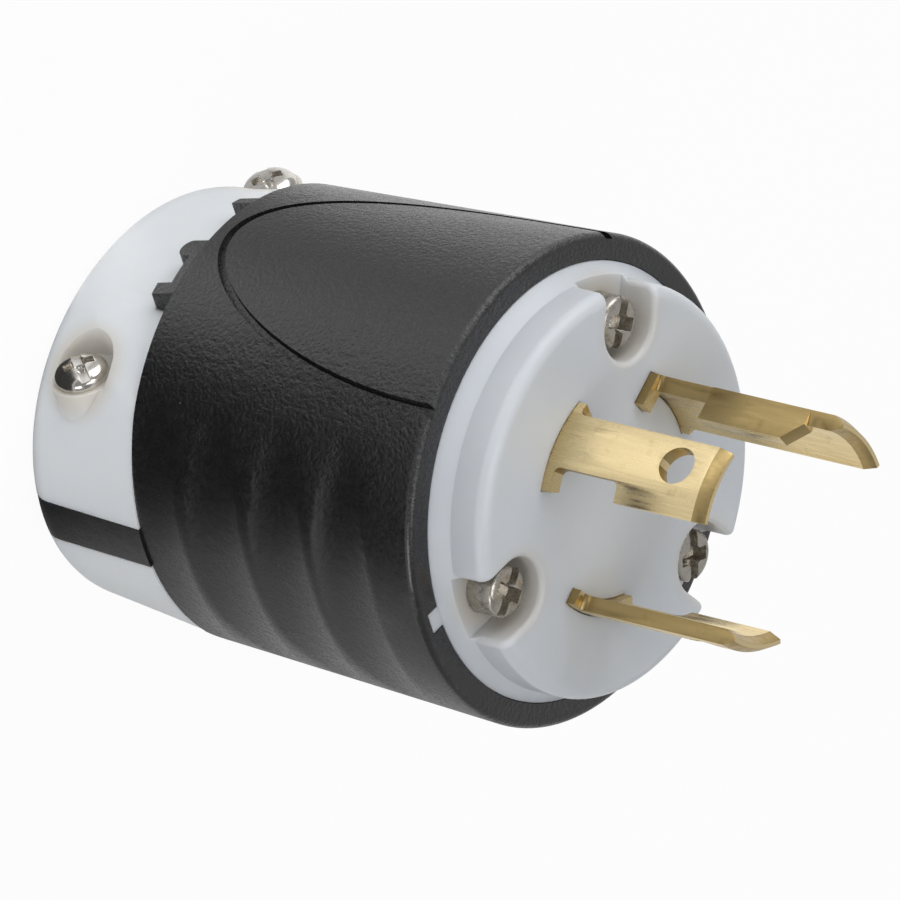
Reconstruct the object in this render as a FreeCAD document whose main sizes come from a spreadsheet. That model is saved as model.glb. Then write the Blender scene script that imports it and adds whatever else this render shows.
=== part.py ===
"""Locking power plug, 30 A, three blades on a one-inch circle, as a parametric assembly.

The plug stands on the flat rear end of its cord clamp. The origin is where the plug's axis meets that end,
and +Z runs along the plug to the tips of the blades. The label panel and the upper clamp jaw face -Y, and
the two arms of the sleeve, with the finger grips in front of them, lie at +X and -X. Angles are about Z,
from +X. Lengths are millimetres and angles are degrees.
"""

import FreeCAD
import Part
import Sketcher
import math
import os

SIZES = {
    # Clamp and sleeve, outside
    "clamp_length": 16.0,
    "clamp_front_step": 0.1,
    "clamp_front_flat": 0.1,
    "clamp_side_taper": 0.9,
    "clamp_depth_taper": 3.8,
    "clamp_end_shift": 0.4,
    "clamp_end_rounding": 3.6,
    "crown_radius": 32.0,
    "crown_drop": 3.3,
    "sleeve_length": 37.8,
    "sleeve_front_radius": 25.3,
    "sleeve_taper": 1.7,
    "sleeve_front_rounding": 0.8,
    # Sleeve, inside
    "front_wall": 3.9,
    "side_wall": 3.0,
    "rear_wall": 2.5,
    "rear_opening_clearance": 4.0,
    "boss_radius": 3.2,
    "boss_length": 14.4,
    "boss_web": 3.0,
    # Arms between the jaws
    "arm_width": 4.6,
    "arm_thickness": 3.4,
    "arm_setback": 1.4,
    # Finger grips
    "grip_pitch": 8.6,
    "grip_width": 8.0,
    "grip_depth": 0.56,
    "grip_half_angle": 42.0,
    "grip_first_setback": 10.5,
    # Label panel
    "panel_half_width": 14.6,
    "panel_length": 35.5,
    "panel_groove_width": 0.9,
    "panel_groove_depth": 0.6,
    # Teeth on the rear rim, above the crown of the upper jaw
    "tooth_length": 3.2,
    "tooth_width": 1.25,
    "tooth_drop": 0.75,
    "tooth_root_depth": 4.6,
    "tooth_right_offset": 8.15,
    "tooth_left_offset": 6.0,
    "peg_offset": 3.0,
    "peg_radius": 1.1,
    "peg_length": 2.1,
    "tab_length": 1.2,
    "tab_start_angle": -80.0,
    "tab_sweep_angle": 11.5,
    "tab_thickness": 1.8,
    # Front body
    "rim_width": 2.7,
    "flange_depth": 4.0,
    "foot_height": 1.8,
    "drum_setback": 1.3,
    "drum_height": 6.0,
    "drum_rounding": 1.3,
    "face_wall": 3.6,
    "core_clearance": 1.45,
    "key_width": 2.2,
    "key_reach": 1.5,
    # Face screws and their notches
    "face_screw_setback": 4.1,
    "face_screw_head_radius": 2.7,
    "face_screw_head_height": 3.3,
    "face_screw_shank_radius": 1.75,
    "face_screw_dome": 0.5,
    "face_screw_length": 15.0,
    "notch_radius": 3.75,
    "notch_rounding": 0.6,
    "notch_floor_height": 1.5,
    # Blades
    "blade_outer_radius": 12.5,
    "blade_thickness": 1.65,
    "blade_root_depth": 20.0,
    "blade_shoulder_height": 1.0,
    "line_blade_length": 20.2,
    "ground_blade_length": 24.7,
    "blade_tip_bevel": 1.3,
    "blade_tip_land": 0.45,
    "blade_hook_height": 9.0,
    "line_blade_sweep_angle": 27.3,
    "line_hook_sweep_angle": 10.2,
    "line_shoulder_before_angle": 6.5,
    "line_shoulder_after_angle": 12.2,
    "hot_blade_start_angle": -77.5,
    "neutral_blade_start_angle": 32.5,
    "ground_blade_start_angle": 182.0,
    "ground_blade_sweep_angle": 40.0,
    "ground_notch_sweep_angle": 37.0,
    "ground_shoulder_before_angle": 4.5,
    "blade_wing_sweep_angle": 2.5,
    "ground_flange_angle": 22.7,
    "ground_flange_root": 3.6,
    "ground_flange_hook": 2.0,
    "ground_hook_height": 8.0,
    "ground_hook_length": 12.4,
    "blade_hole_radius": 2.0,
    "blade_hole_height": 15.1,
    # Terminals
    "terminal_screw_head_radius": 3.4,
    "terminal_screw_head_height": 2.2,
    "terminal_screw_dome": 0.8,
    "terminal_screw_shank_radius": 1.9,
    "terminal_screw_length": 6.6,
    "terminal_setback": 5.6,
    "wire_clamp_side": 7.6,
    "wire_clamp_thickness": 2.0,
    "wire_gap": 2.65,
    "carrier_clearance": 0.8,
    "carrier_floor": 2.0,
    "carrier_flange": 1.6,
    "carrier_spigot_height": 2.2,
    "wire_pocket_depth": 5.3,
    # Clamp screws and cord way
    "clamp_screw_setback": 6.5,
    "clamp_screw_height": 7.2,
    "clamp_screw_seat_depth": 5.1,
    "clamp_screw_head_radius": 2.8,
    "clamp_screw_head_height": 1.9,
    "clamp_screw_dome": 1.3,
    "screw_pad_radius": 3.3,
    "screw_pocket_radius": 3.9,
    "clamp_screw_shank_radius": 1.6,
    "clamp_screw_reach": 9.0,
    "thread_relief": 1.0,
    "jaw_gap": 1.5,
    "cord_bore_radius": 8.0,
    "bore_groove_depth": 0.8,
    "bore_groove_width": 1.2,
    "bore_groove_pitch": 3.4,
    # Cord seal
    "seal_thickness": 1.5,
    "seal_opening_radius": 7.6,
    # Driver recesses
    "recess_width": 1.1,
    "recess_depth": 1.2,
    "recess_reach": 1.9,
    # Running and slip fits
    "fit": 0.1,
    # How far the teeth are let into the sleeve's rear wall
    "tooth_bite": 0.3,
}

GRIP_COUNT = 4
# Each scoop is cut by this much of a ring, more than the grips need.
GRIP_SWEEP = 110
BORE_GROOVE_COUNT = 3
SCREW_ANGLES = {1: 0.0, 2: 120.0, 3: 240.0}
# How far the driver's slot is turned in each face screw, and in the clamp screws
FACE_SLOT_ANGLES = {1: 37.7, 2: 68.6, 3: 49.6}
CLAMP_SLOT_ANGLE = 52.0
# The longest reach that any cutting solid needs, well clear of the plug.
BEYOND = 40.0

DOC = FreeCAD.newDocument("LockingPlug")


class Term:
    """A number together with the expression that gives it in the document."""

    def __init__(self, number, text):
        self.number = number
        self.text = text

    def joined(self, other, sign, number):
        return Term(number, f"({self.text} {sign} {other.text})")

    def __add__(self, other):
        other = term(other)
        return self.joined(other, "+", self.number + other.number)

    def __radd__(self, other):
        return term(other) + self

    def __sub__(self, other):
        other = term(other)
        return self.joined(other, "-", self.number - other.number)

    def __rsub__(self, other):
        return term(other) - self

    def __mul__(self, other):
        other = term(other)
        return self.joined(other, "*", self.number * other.number)

    def __rmul__(self, other):
        return term(other) * self

    def __truediv__(self, other):
        other = term(other)
        return self.joined(other, "/", self.number / other.number)

    def __neg__(self):
        return Term(-self.number, f"(-1 * {self.text})")


def term(value):
    """A plain number as a Term."""
    if isinstance(value, Term):
        return value
    return Term(float(value), f"({float(value)!r})")


def cosine(angle):
    angle = term(angle)
    return Term(math.cos(math.radians(angle.number)), f"cos({angle.text})")


def sine(angle):
    angle = term(angle)
    return Term(math.sin(math.radians(angle.number)), f"sin({angle.text})")


def write_sheet():
    """Puts every size in the sheet under its own alias, and returns them as Terms."""
    sheet = DOC.addObject("Spreadsheet::Sheet", "Sizes")
    terms = {}
    for row, (alias, number) in enumerate(SIZES.items(), start=1):
        sheet.set(f"A{row}", alias)
        sheet.set(f"B{row}", str(number))
        sheet.setAlias(f"B{row}", alias)
        terms[alias] = Term(number, f"Sizes.{alias}")
    DOC.recompute()
    return terms


S = write_sheet()

# Radii and half widths that follow the sleeve's front radius, the blades' circle and the cord
SLEEVE_REAR_RADIUS = S["sleeve_front_radius"] - S["sleeve_taper"]
CAVITY_FRONT_RADIUS = S["sleeve_front_radius"] - S["front_wall"]
CAVITY_REAR_RADIUS = SLEEVE_REAR_RADIUS - S["side_wall"]
REAR_OPENING_RADIUS = S["cord_bore_radius"] + S["rear_opening_clearance"]
TOOTH_ROOT_HEIGHT = SLEEVE_REAR_RADIUS - S["tooth_root_depth"]
FLANGE_RADIUS = S["sleeve_front_radius"] - S["rim_width"] - S["fit"]
DRUM_RADIUS = FLANGE_RADIUS - S["drum_setback"]
SCREW_CIRCLE = DRUM_RADIUS - S["face_screw_setback"]
CARRIER_RADIUS = CAVITY_FRONT_RADIUS - S["carrier_clearance"]
BLADE_INNER_RADIUS = S["blade_outer_radius"] - S["blade_thickness"]
CORE_RADIUS = BLADE_INNER_RADIUS - S["core_clearance"]
CLAMP_FRONT_HALF_WIDTH = SLEEVE_REAR_RADIUS - S["clamp_front_step"]
CLAMP_FRONT_HALF_DEPTH = CLAMP_FRONT_HALF_WIDTH - S["clamp_front_flat"]
CLAMP_END_HALF_WIDTH = CLAMP_FRONT_HALF_WIDTH - S["clamp_side_taper"]
CLAMP_END_HALF_DEPTH = CLAMP_FRONT_HALF_DEPTH - S["clamp_depth_taper"]
CROWN_HEIGHT = SLEEVE_REAR_RADIUS - S["crown_drop"]
CLAMP_SCREW_OFFSET = CLAMP_END_HALF_WIDTH - S["clamp_screw_setback"]
CLAMP_SCREW_SEAT = CLAMP_END_HALF_DEPTH - S["clamp_screw_seat_depth"]
CLAMP_SCREW_LENGTH = CLAMP_SCREW_SEAT + S["clamp_screw_reach"]

# Levels along the plug, from the rear end
SLEEVE_REAR = S["clamp_length"]
RIM = SLEEVE_REAR + S["sleeve_length"]
SHOULDER = RIM - S["flange_depth"]
FACE = RIM + S["drum_height"]
WALL_TOP = SLEEVE_REAR + S["rear_wall"]
BLADE_ROOT = FACE - S["blade_root_depth"]
TERMINAL_LEVEL = SHOULDER - S["terminal_setback"]
CARRIER_REAR = BLADE_ROOT - S["carrier_floor"]
BOSS_TOP = SHOULDER - S["carrier_flange"]
NOTCH_FLOOR = RIM + S["notch_floor_height"]


def bind(thing, **terms):
    """Ties properties to expressions; a double underscore in a name stands for a dot."""
    for name, value in terms.items():
        value = term(value)
        path = name.replace("__", ".")
        thing.setExpression(path, value.text)


def place(thing, x=0.0, y=0.0, z=0.0, turn=None):
    """Puts a thing at a point, turned about Z by an angle if one is given."""
    x, y, z = term(x), term(y), term(z)
    base = FreeCAD.Vector(x.number, y.number, z.number)
    if turn is not None:
        turn = term(turn)
        rotation = FreeCAD.Rotation(FreeCAD.Vector(0, 0, 1), turn.number)
        thing.Placement = FreeCAD.Placement(base, rotation)
        bind(thing, Placement__Rotation__Angle=turn)
    else:
        thing.Placement = FreeCAD.Placement(base, thing.Placement.Rotation)
    bind(thing, Placement__Base__x=x, Placement__Base__y=y, Placement__Base__z=z)
    return thing


def place_radially(thing, angle, radius, level):
    """Turns a thing's own Z axis outwards along a radius of the plug, and puts its origin on it."""
    angle = term(angle)
    axis = FreeCAD.Vector(-sine(angle).number, cosine(angle).number, 0)
    thing.Placement = FreeCAD.Placement(FreeCAD.Vector(), FreeCAD.Rotation(axis, 90))
    bind(thing, Placement__Rotation__Axis__x=-sine(angle), Placement__Rotation__Axis__y=cosine(angle))
    return place(thing, radius * cosine(angle), radius * sine(angle), level)


def cylinder(name, radius, height, x=0.0, y=0.0, z=0.0):
    made = DOC.addObject("Part::Cylinder", name)
    bind(made, Radius=radius, Height=height)
    return place(made, x, y, z)


def cylinder_along_y(name, radius, height, x, y, z):
    """A cylinder whose axis runs towards +Y from its start."""
    made = DOC.addObject("Part::Cylinder", name)
    bind(made, Radius=radius, Height=height)
    made.Placement = FreeCAD.Placement(FreeCAD.Vector(), FreeCAD.Rotation(FreeCAD.Vector(1, 0, 0), -90))
    return place(made, x, y, z)


def wedge(name, start, sweep, radius, z, height):
    """A pie slice about the plug's axis."""
    made = DOC.addObject("Part::Cylinder", name)
    bind(made, Radius=radius, Height=height, Angle=sweep)
    return place(made, z=z, turn=start)


def box(name, length, width, height, x=0.0, y=0.0, z=0.0):
    """A box centred on x and y that rises from z."""
    length, width = term(length), term(width)
    made = DOC.addObject("Part::Box", name)
    bind(made, Length=length, Width=width, Height=height)
    return place(made, x - length / 2, y - width / 2, z)


def turned_box(name, length, width, height, angle, start, z):
    """A box along a radius of the plug, from a start radius outwards, centred on that radius."""
    angle, width, start = term(angle), term(width), term(start)
    made = DOC.addObject("Part::Box", name)
    bind(made, Length=length, Width=width, Height=height)
    x = start * cosine(angle) + width / 2 * sine(angle)
    y = start * sine(angle) - width / 2 * cosine(angle)
    return place(made, x, y, z, turn=angle)


def fuse(name, *shapes):
    made = DOC.addObject("Part::MultiFuse", name)
    made.Shapes = list(shapes)
    made.Refine = True
    return made


def cut(name, base, *tools):
    made = DOC.addObject("Part::Cut", name)
    made.Base = base
    made.Tool = tools[0] if len(tools) == 1 else fuse(name + "_tools", *tools)
    made.Refine = True
    return made


def common(name, first, second):
    made = DOC.addObject("Part::MultiCommon", name)
    made.Shapes = [first, second]
    made.Refine = True
    return made


def named(made, label):
    made.Label = label
    return made


def turned_body(name, profile, roundings=()):
    """A body of revolution about Z.

    The profile is a closed run of (radius, level) corners. Each rounding is a (radius, level, size) that
    rounds the circular edge at that corner.
    """
    body = DOC.addObject("PartDesign::Body", name)
    plane = next(item for item in body.Origin.OriginFeatures if item.Role == "XZ_Plane")
    sketch = body.newObject("Sketcher::SketchObject", name + "_profile")
    sketch.AttachmentSupport = (plane, [""])
    sketch.MapMode = "FlatFace"
    corners = [(term(radius), term(level)) for radius, level in profile]
    count = len(corners)
    for index, (radius, level) in enumerate(corners):
        after = corners[(index + 1) % count]
        start = FreeCAD.Vector(radius.number, level.number, 0)
        end = FreeCAD.Vector(after[0].number, after[1].number, 0)
        sketch.addGeometry(Part.LineSegment(start, end), False)
    for index in range(count):
        sketch.addConstraint(Sketcher.Constraint("Coincident", index, 2, (index + 1) % count, 1))
    for index, (radius, level) in enumerate(corners):
        if radius.number == 0:
            sketch.addConstraint(Sketcher.Constraint("PointOnObject", index, 1, -2))
        else:
            held = sketch.addConstraint(Sketcher.Constraint("DistanceX", -1, 1, index, 1, radius.number))
            sketch.setExpression(f"Constraints[{held}]", radius.text)
        if level.number == 0:
            sketch.addConstraint(Sketcher.Constraint("PointOnObject", index, 1, -1))
        else:
            held = sketch.addConstraint(Sketcher.Constraint("DistanceY", -1, 1, index, 1, level.number))
            sketch.setExpression(f"Constraints[{held}]", level.text)
    turned = body.newObject("PartDesign::Revolution", name + "_turned")
    turned.Profile = sketch
    turned.ReferenceAxis = (sketch, ["V_Axis"])
    turned.Angle = 360
    DOC.recompute()
    base = turned
    for number, (radius, level, size) in enumerate(roundings, start=1):
        edge = circle_edge(base.Shape, term(radius).number, term(level).number)
        rounding = body.newObject("PartDesign::Fillet", f"{name}_rounding_{number}")
        rounding.Base = (base, [edge])
        bind(rounding, Radius=size)
        DOC.recompute()
        base = rounding
    return body


def circle_edge(shape, radius, level):
    """The name of the circular edge of a shape at a radius and a level."""
    for number, edge in enumerate(shape.Edges, start=1):
        curve = edge.Curve
        if not isinstance(curve, Part.Circle):
            continue
        if abs(curve.Radius - radius) < 1e-4 and abs(curve.Center.z - level) < 1e-4:
            return f"Edge{number}"
    raise ValueError(f"no circular edge of radius {radius} at {level}")


def clamp_blank():
    """The outer form of the clamp: round where it meets the sleeve, oval and rounded at its rear end."""
    front = DOC.addObject("Part::Ellipse", "clamp_front_outline")
    bind(front, MajorRadius=CLAMP_FRONT_HALF_WIDTH, MinorRadius=CLAMP_FRONT_HALF_DEPTH)
    place(front, z=SLEEVE_REAR)
    rear = DOC.addObject("Part::Ellipse", "clamp_rear_outline")
    bind(rear, MajorRadius=CLAMP_END_HALF_WIDTH, MinorRadius=CLAMP_END_HALF_DEPTH)
    place(rear, y=S["clamp_end_shift"])
    loft = DOC.addObject("Part::Loft", "clamp_loft")
    loft.Sections = [rear, front]
    loft.Solid = True
    loft.Ruled = True
    DOC.recompute()
    lowest = min(range(len(loft.Shape.Edges)), key=lambda index: loft.Shape.Edges[index].BoundBox.ZMax)
    size = S["clamp_end_rounding"].number
    blank = DOC.addObject("Part::Fillet", "clamp_blank")
    blank.Base = loft
    blank.Edges = [(lowest + 1, size, size)]
    DOC.recompute()
    return blank


def drive_recess(name, head_radius, head_height):
    """The slot and the cross that a driver turns, as one cutting solid at the top of a head."""
    depth = S["recess_depth"]
    floor = head_height - depth
    slot = box(name + "_slot", head_radius * 3, S["recess_width"], depth * 2, z=floor)
    cross = box(name + "_cross", S["recess_width"], S["recess_reach"] * 2, depth * 2, z=floor)
    return fuse(name + "_recess", slot, cross)


def pan_screw(name, head_radius, head_height, shank_radius, length, dome):
    """A screw with its seat at the origin, its head towards +Z and its shank towards -Z."""
    profile = [
        (0, -length),
        (shank_radius, -length),
        (shank_radius, 0),
        (head_radius, 0),
        (head_radius, head_height),
        (0, head_height),
    ]
    body = turned_body(name + "_body", profile, [(head_radius, head_height, dome)])
    return cut(name, body, drive_recess(name, head_radius, head_height))


def grip_scoop(side, number):
    """A ring that scoops one finger grip out of the sleeve, on one side.

    Its axis is set over, so that the scoop is deepest at the side and runs out at the half angle.
    """
    setback = S["grip_first_setback"] + S["grip_pitch"] * (number - 1)
    taper = S["sleeve_taper"] / S["sleeve_length"]
    radius = S["sleeve_front_radius"] - taper * setback
    depth = S["grip_depth"]
    rise = radius * (1 - cosine(S["grip_half_angle"])) - depth
    offset = -depth * (2 * radius - depth) / (2 * rise)
    floor_radius = radius - depth - offset
    half = S["grip_width"] / 2
    tube_radius = (half * half + depth * depth) / (2 * depth)
    side_name = "right" if side > 0 else "left"
    ring = DOC.addObject("Part::Torus", f"grip_{side_name}_{number}")
    bind(ring, Radius1=floor_radius + tube_radius, Radius2=tube_radius, Angle3=GRIP_SWEEP)
    start = -GRIP_SWEEP / 2 if side > 0 else 180 - GRIP_SWEEP / 2
    return place(ring, x=side * offset, z=RIM - setback, turn=start)


def oval_prism(name, grow):
    """An oval block through the label side of the sleeve, as large as the panel and a growth around it."""
    oval = DOC.addObject("Part::Ellipse", name + "_outline")
    bind(oval, MajorRadius=S["panel_length"] + grow, MinorRadius=S["panel_half_width"] + grow)
    # The major axis is turned to lie along Z, and the outline stands in the XZ plane.
    upright = FreeCAD.Rotation(FreeCAD.Vector(1, 0, 0), 90)
    along = FreeCAD.Rotation(FreeCAD.Vector(0, 1, 0), 90)
    oval.Placement = FreeCAD.Placement(FreeCAD.Vector(), along.multiply(upright))
    place(oval, z=RIM)
    prism = DOC.addObject("Part::Extrusion", name)
    prism.Base = oval
    prism.DirMode = "Custom"
    prism.Dir = FreeCAD.Vector(0, -1, 0)
    prism.LengthFwd = BEYOND
    prism.Solid = True
    return prism


def panel_groove():
    """The narrow groove that bounds the label panel, as a cutting solid."""
    inside = DOC.addObject("Part::Cone", "groove_floor")
    depth = S["panel_groove_depth"]
    bind(
        inside,
        Radius1=SLEEVE_REAR_RADIUS - depth,
        Radius2=S["sleeve_front_radius"] - depth,
        Height=S["sleeve_length"],
    )
    place(inside, z=SLEEVE_REAR)
    around = cylinder("groove_reach", S["sleeve_front_radius"] + 2, S["sleeve_length"], z=SLEEVE_REAR)
    skin = cut("groove_skin", around, inside)
    outer = oval_prism("groove_outer", S["panel_groove_width"])
    ring = cut("groove_ring", outer, oval_prism("groove_inner", 0))
    return common("panel_groove", ring, skin)


def tooth_block(name, middle, width, length, grow):
    """A block on the rear rim above the upper jaw, grown on its sides for the pocket that clears it."""
    root = TOOTH_ROOT_HEIGHT - grow
    height = SLEEVE_REAR_RADIUS + 2
    made = DOC.addObject("Part::Box", name)
    bind(made, Length=width + 2 * grow, Width=height - root, Height=length + grow + S["tooth_bite"])
    return place(made, middle - width / 2 - grow, -height, SLEEVE_REAR - length - grow)


def peg_round(name, grow):
    """The rounded end of the peg, which stands along Y."""
    root = TOOTH_ROOT_HEIGHT - grow
    height = SLEEVE_REAR_RADIUS + 2
    level = SLEEVE_REAR - S["peg_length"]
    return cylinder_along_y(name, S["peg_radius"] + grow, height - root, S["peg_offset"], -height, level)


def tooth_solids(prefix, grow):
    """The two square teeth and the rounded peg, each as a solid that reaches beyond the sleeve."""
    width = S["tooth_width"]
    length = S["tooth_length"]
    peg = 2 * S["peg_radius"]
    return [
        tooth_block(prefix + "_tooth_right", S["tooth_right_offset"], width, length, grow),
        tooth_block(prefix + "_tooth_left", -S["tooth_left_offset"], width, length, grow),
        tooth_block(prefix + "_peg", S["peg_offset"], peg, S["peg_length"], grow),
        peg_round(prefix + "_peg_end", grow),
    ]


def rear_teeth():
    """The teeth and the tab between them, whose tops slope down to the rear like the clamp."""
    bite = S["tooth_bite"]
    top = SLEEVE_REAR_RADIUS - bite / 2
    low = top - S["tooth_drop"]
    length = S["tooth_length"]
    slope = S["tooth_drop"] / length
    envelope = DOC.addObject("Part::Cone", "tooth_envelope")
    bind(envelope, Radius1=low, Radius2=top + slope * bite, Height=length + bite)
    place(envelope, z=SLEEVE_REAR - length)
    made = []
    for solid in tooth_solids("rim", term(0)):
        made.append(common(solid.Name + "_shaped", solid, envelope))
    start = SLEEVE_REAR - S["tab_length"]
    rise = S["tab_length"] + bite
    outer = wedge("tab_outer", S["tab_start_angle"], S["tab_sweep_angle"], BEYOND, start, rise)
    inner = cylinder("tab_inner", top - S["tab_thickness"], BEYOND, z=start - 1)
    made.append(common("tab", cut("tab_band", outer, inner), envelope))
    return made


def sleeve(blank):
    """The black housing, with its bosses, arms, teeth, grips and label panel."""
    bore = FLANGE_RADIUS + S["fit"]
    shell = turned_body(
        "sleeve_shell",
        [
            (REAR_OPENING_RADIUS, SLEEVE_REAR),
            (SLEEVE_REAR_RADIUS, SLEEVE_REAR),
            (S["sleeve_front_radius"], RIM),
            (bore, RIM),
            (bore, SHOULDER),
            (CAVITY_FRONT_RADIUS, SHOULDER),
            (CAVITY_REAR_RADIUS, WALL_TOP),
            (REAR_OPENING_RADIUS, WALL_TOP),
        ],
        [(S["sleeve_front_radius"], RIM, S["sleeve_front_rounding"])],
    )
    for side in (1, -1):
        for number in range(1, GRIP_COUNT + 1):
            scoop = grip_scoop(side, number)
            shell = cut(scoop.Name + "_taken", shell, scoop)
    added = [shell]
    removed = []
    reach = CAVITY_FRONT_RADIUS - SCREW_CIRCLE
    for number, angle in SCREW_ANGLES.items():
        x = SCREW_CIRCLE * cosine(angle)
        y = SCREW_CIRCLE * sine(angle)
        length = S["boss_length"]
        start = BOSS_TOP - length
        circle = SCREW_CIRCLE
        added.append(cylinder(f"boss_{number}", S["boss_radius"], length, x, y, start))
        added.append(turned_box(f"boss_web_{number}", reach, S["boss_web"], length, angle, circle, start))
        hole = S["face_screw_shank_radius"]
        depth = S["boss_length"] - 1
        removed.append(cylinder(f"boss_hole_{number}", hole, depth + 2, x, y, BOSS_TOP - depth))
    for side, name in ((1, "right"), (-1, "left")):
        back = S["arm_setback"]
        length = S["clamp_length"] - back
        thickness = S["arm_thickness"]
        middle = side * (CLAMP_END_HALF_WIDTH - thickness / 2 + 1)
        slab = box(f"arm_slab_{name}", thickness + 2, S["arm_width"], length + 1, middle, 0, back)
        added.append(common(f"arm_{name}", slab, blank))
    added += rear_teeth()
    removed.append(panel_groove())
    removed.append(
        box(
            "key_slot",
            BEYOND,
            S["key_width"] + 2 * S["fit"],
            S["foot_height"] * 2,
            FLANGE_RADIUS + S["key_reach"] + S["fit"] - BEYOND / 2,
            0,
            RIM - S["foot_height"],
        )
    )
    return named(cut("sleeve_part", fuse("sleeve_sum", *added), *removed), "sleeve")


def blade_stem(name, start, before, sweep, after):
    """The pie slices of a stem: its shoulder at the face, and its wider wings behind the front body."""
    width = before + sweep + after
    wing = S["blade_wing_sweep_angle"]
    rise = FACE + S["blade_shoulder_height"] - BLADE_ROOT
    stem = wedge(name + "_stem", start - before, width, BEYOND, BLADE_ROOT, rise)
    low = SHOULDER - BLADE_ROOT
    wings = wedge(name + "_wings", start - before - wing, width + 2 * wing, BEYOND, BLADE_ROOT, low)
    return [stem, wings]


def blade_ring(name, length):
    """The ring that a blade is a part of, with the tip bevelled on both sides."""
    tip = FACE + length
    bevel = S["blade_tip_bevel"]
    land = S["blade_tip_land"]
    middle = BLADE_INNER_RADIUS + S["blade_thickness"] / 2
    return turned_body(
        name,
        [
            (BLADE_INNER_RADIUS, BLADE_ROOT),
            (S["blade_outer_radius"], BLADE_ROOT),
            (S["blade_outer_radius"], tip - bevel),
            (middle + land / 2, tip),
            (middle - land / 2, tip),
            (BLADE_INNER_RADIUS, tip - bevel),
        ],
    )


def radial_hole(name, radius, angle, level, start, length):
    """A cutting cylinder along a radius of the plug, from a start radius outwards."""
    made = DOC.addObject("Part::Cylinder", name)
    bind(made, Radius=radius, Height=length)
    return place_radially(made, angle, term(start), level)


def blade_hole(name, radius, angle, level):
    """A cutter for a round hole through the circle of the blades."""
    return radial_hole(name, radius, angle, level, BLADE_INNER_RADIUS / 2, S["blade_outer_radius"])


def line_blade(name, start):
    """One of the two equal current-carrying blades."""
    tip = FACE + S["line_blade_length"]
    sweep = S["line_blade_sweep_angle"]
    hook_start = FACE + S["blade_hook_height"]
    slices = blade_stem(name, start, S["line_shoulder_before_angle"], sweep, S["line_shoulder_after_angle"])
    slices.append(wedge(name + "_main", start, sweep, BEYOND, BLADE_ROOT, tip - BLADE_ROOT))
    hooked = sweep + S["line_hook_sweep_angle"]
    slices.append(wedge(name + "_hook", start, hooked, BEYOND, hook_start, tip - hook_start))
    outline = fuse(name + "_outline", *slices)
    solid = common(name + "_solid", blade_ring(name + "_ring", S["line_blade_length"]), outline)
    level = FACE + S["blade_hole_height"]
    hole = blade_hole(name + "_eye", S["blade_hole_radius"], start + sweep / 2, level)
    bolt = terminal_hole(name, line_terminal_angle(start))
    return named(cut(name + "_part", solid, hole, bolt), name)


def terminal_angle(start, before, after, sweep):
    """The middle of a blade's stem."""
    return start + (sweep + after - before) / 2


def line_terminal_angle(start):
    """The middle of the stem of a blade of the equal pair."""
    before = S["line_shoulder_before_angle"]
    return terminal_angle(start, before, S["line_shoulder_after_angle"], S["line_blade_sweep_angle"])


def terminal_hole(name, angle):
    radius = S["terminal_screw_shank_radius"] + S["fit"] / 2
    return blade_hole(name + "_bolt_hole", radius, angle, TERMINAL_LEVEL)


def ground_flange(name, length, z, height):
    """A flat flange that runs inwards from the far edge of the ground blade."""
    made = DOC.addObject("Part::Box", name)
    bind(made, Length=length, Width=S["blade_thickness"], Height=height)
    corner = S["ground_blade_start_angle"] + S["ground_blade_sweep_angle"]
    x = S["blade_outer_radius"] * cosine(corner)
    y = S["blade_outer_radius"] * sine(corner)
    return place(made, x, y, z, turn=S["ground_flange_angle"])


def ground_blade():
    """The longer earth blade, whose hook is a flange turned inwards."""
    start = S["ground_blade_start_angle"]
    tip = FACE + S["ground_blade_length"]
    shoulder = FACE + S["blade_shoulder_height"]
    hook_start = FACE + S["ground_hook_height"]
    sweep = S["ground_blade_sweep_angle"]
    slices = blade_stem("ground", start, S["ground_shoulder_before_angle"], sweep, term(0))
    notch = S["ground_notch_sweep_angle"]
    narrow = wedge("ground_narrow", start, notch, BEYOND, BLADE_ROOT, tip - BLADE_ROOT)
    full = wedge("ground_full", start, sweep, BEYOND, hook_start, tip - hook_start)
    outline = fuse("ground_outline", *slices, narrow, full)
    band = common("ground_band", blade_ring("ground_ring", S["ground_blade_length"]), outline)
    root = ground_flange("ground_root_flange", S["ground_flange_root"], SHOULDER, shoulder - SHOULDER)
    reach = S["ground_flange_hook"] + S["blade_thickness"]
    plain_hook = ground_flange("ground_hook_plain", reach, hook_start, S["ground_hook_length"])
    # The top of the hook slopes down towards its free edge.
    slope = S["ground_flange_hook"]
    hook = DOC.addObject("Part::Chamfer", "ground_hook_flange")
    hook.Base = plain_hook
    DOC.recompute()
    hook.Edges = [(box_edge(plain_hook), slope.number, slope.number)]
    bolt = terminal_hole("ground_blade", GROUND_TERMINAL_ANGLE)
    return named(cut("ground_blade_part", fuse("ground_sum", band, root, hook), bolt), "ground_blade")


def box_edge(thing):
    """The number of a box's edge at its far end in length and at its top, across its width."""
    local = thing.Shape.copy()
    local.Placement = FreeCAD.Placement()
    bounds = local.BoundBox
    for number, edge in enumerate(local.Edges, start=1):
        middle = edge.CenterOfMass
        if abs(middle.x - bounds.XMax) < 1e-6 and abs(middle.z - bounds.ZMax) < 1e-6:
            return number
    raise ValueError("the box has no such edge")


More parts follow.
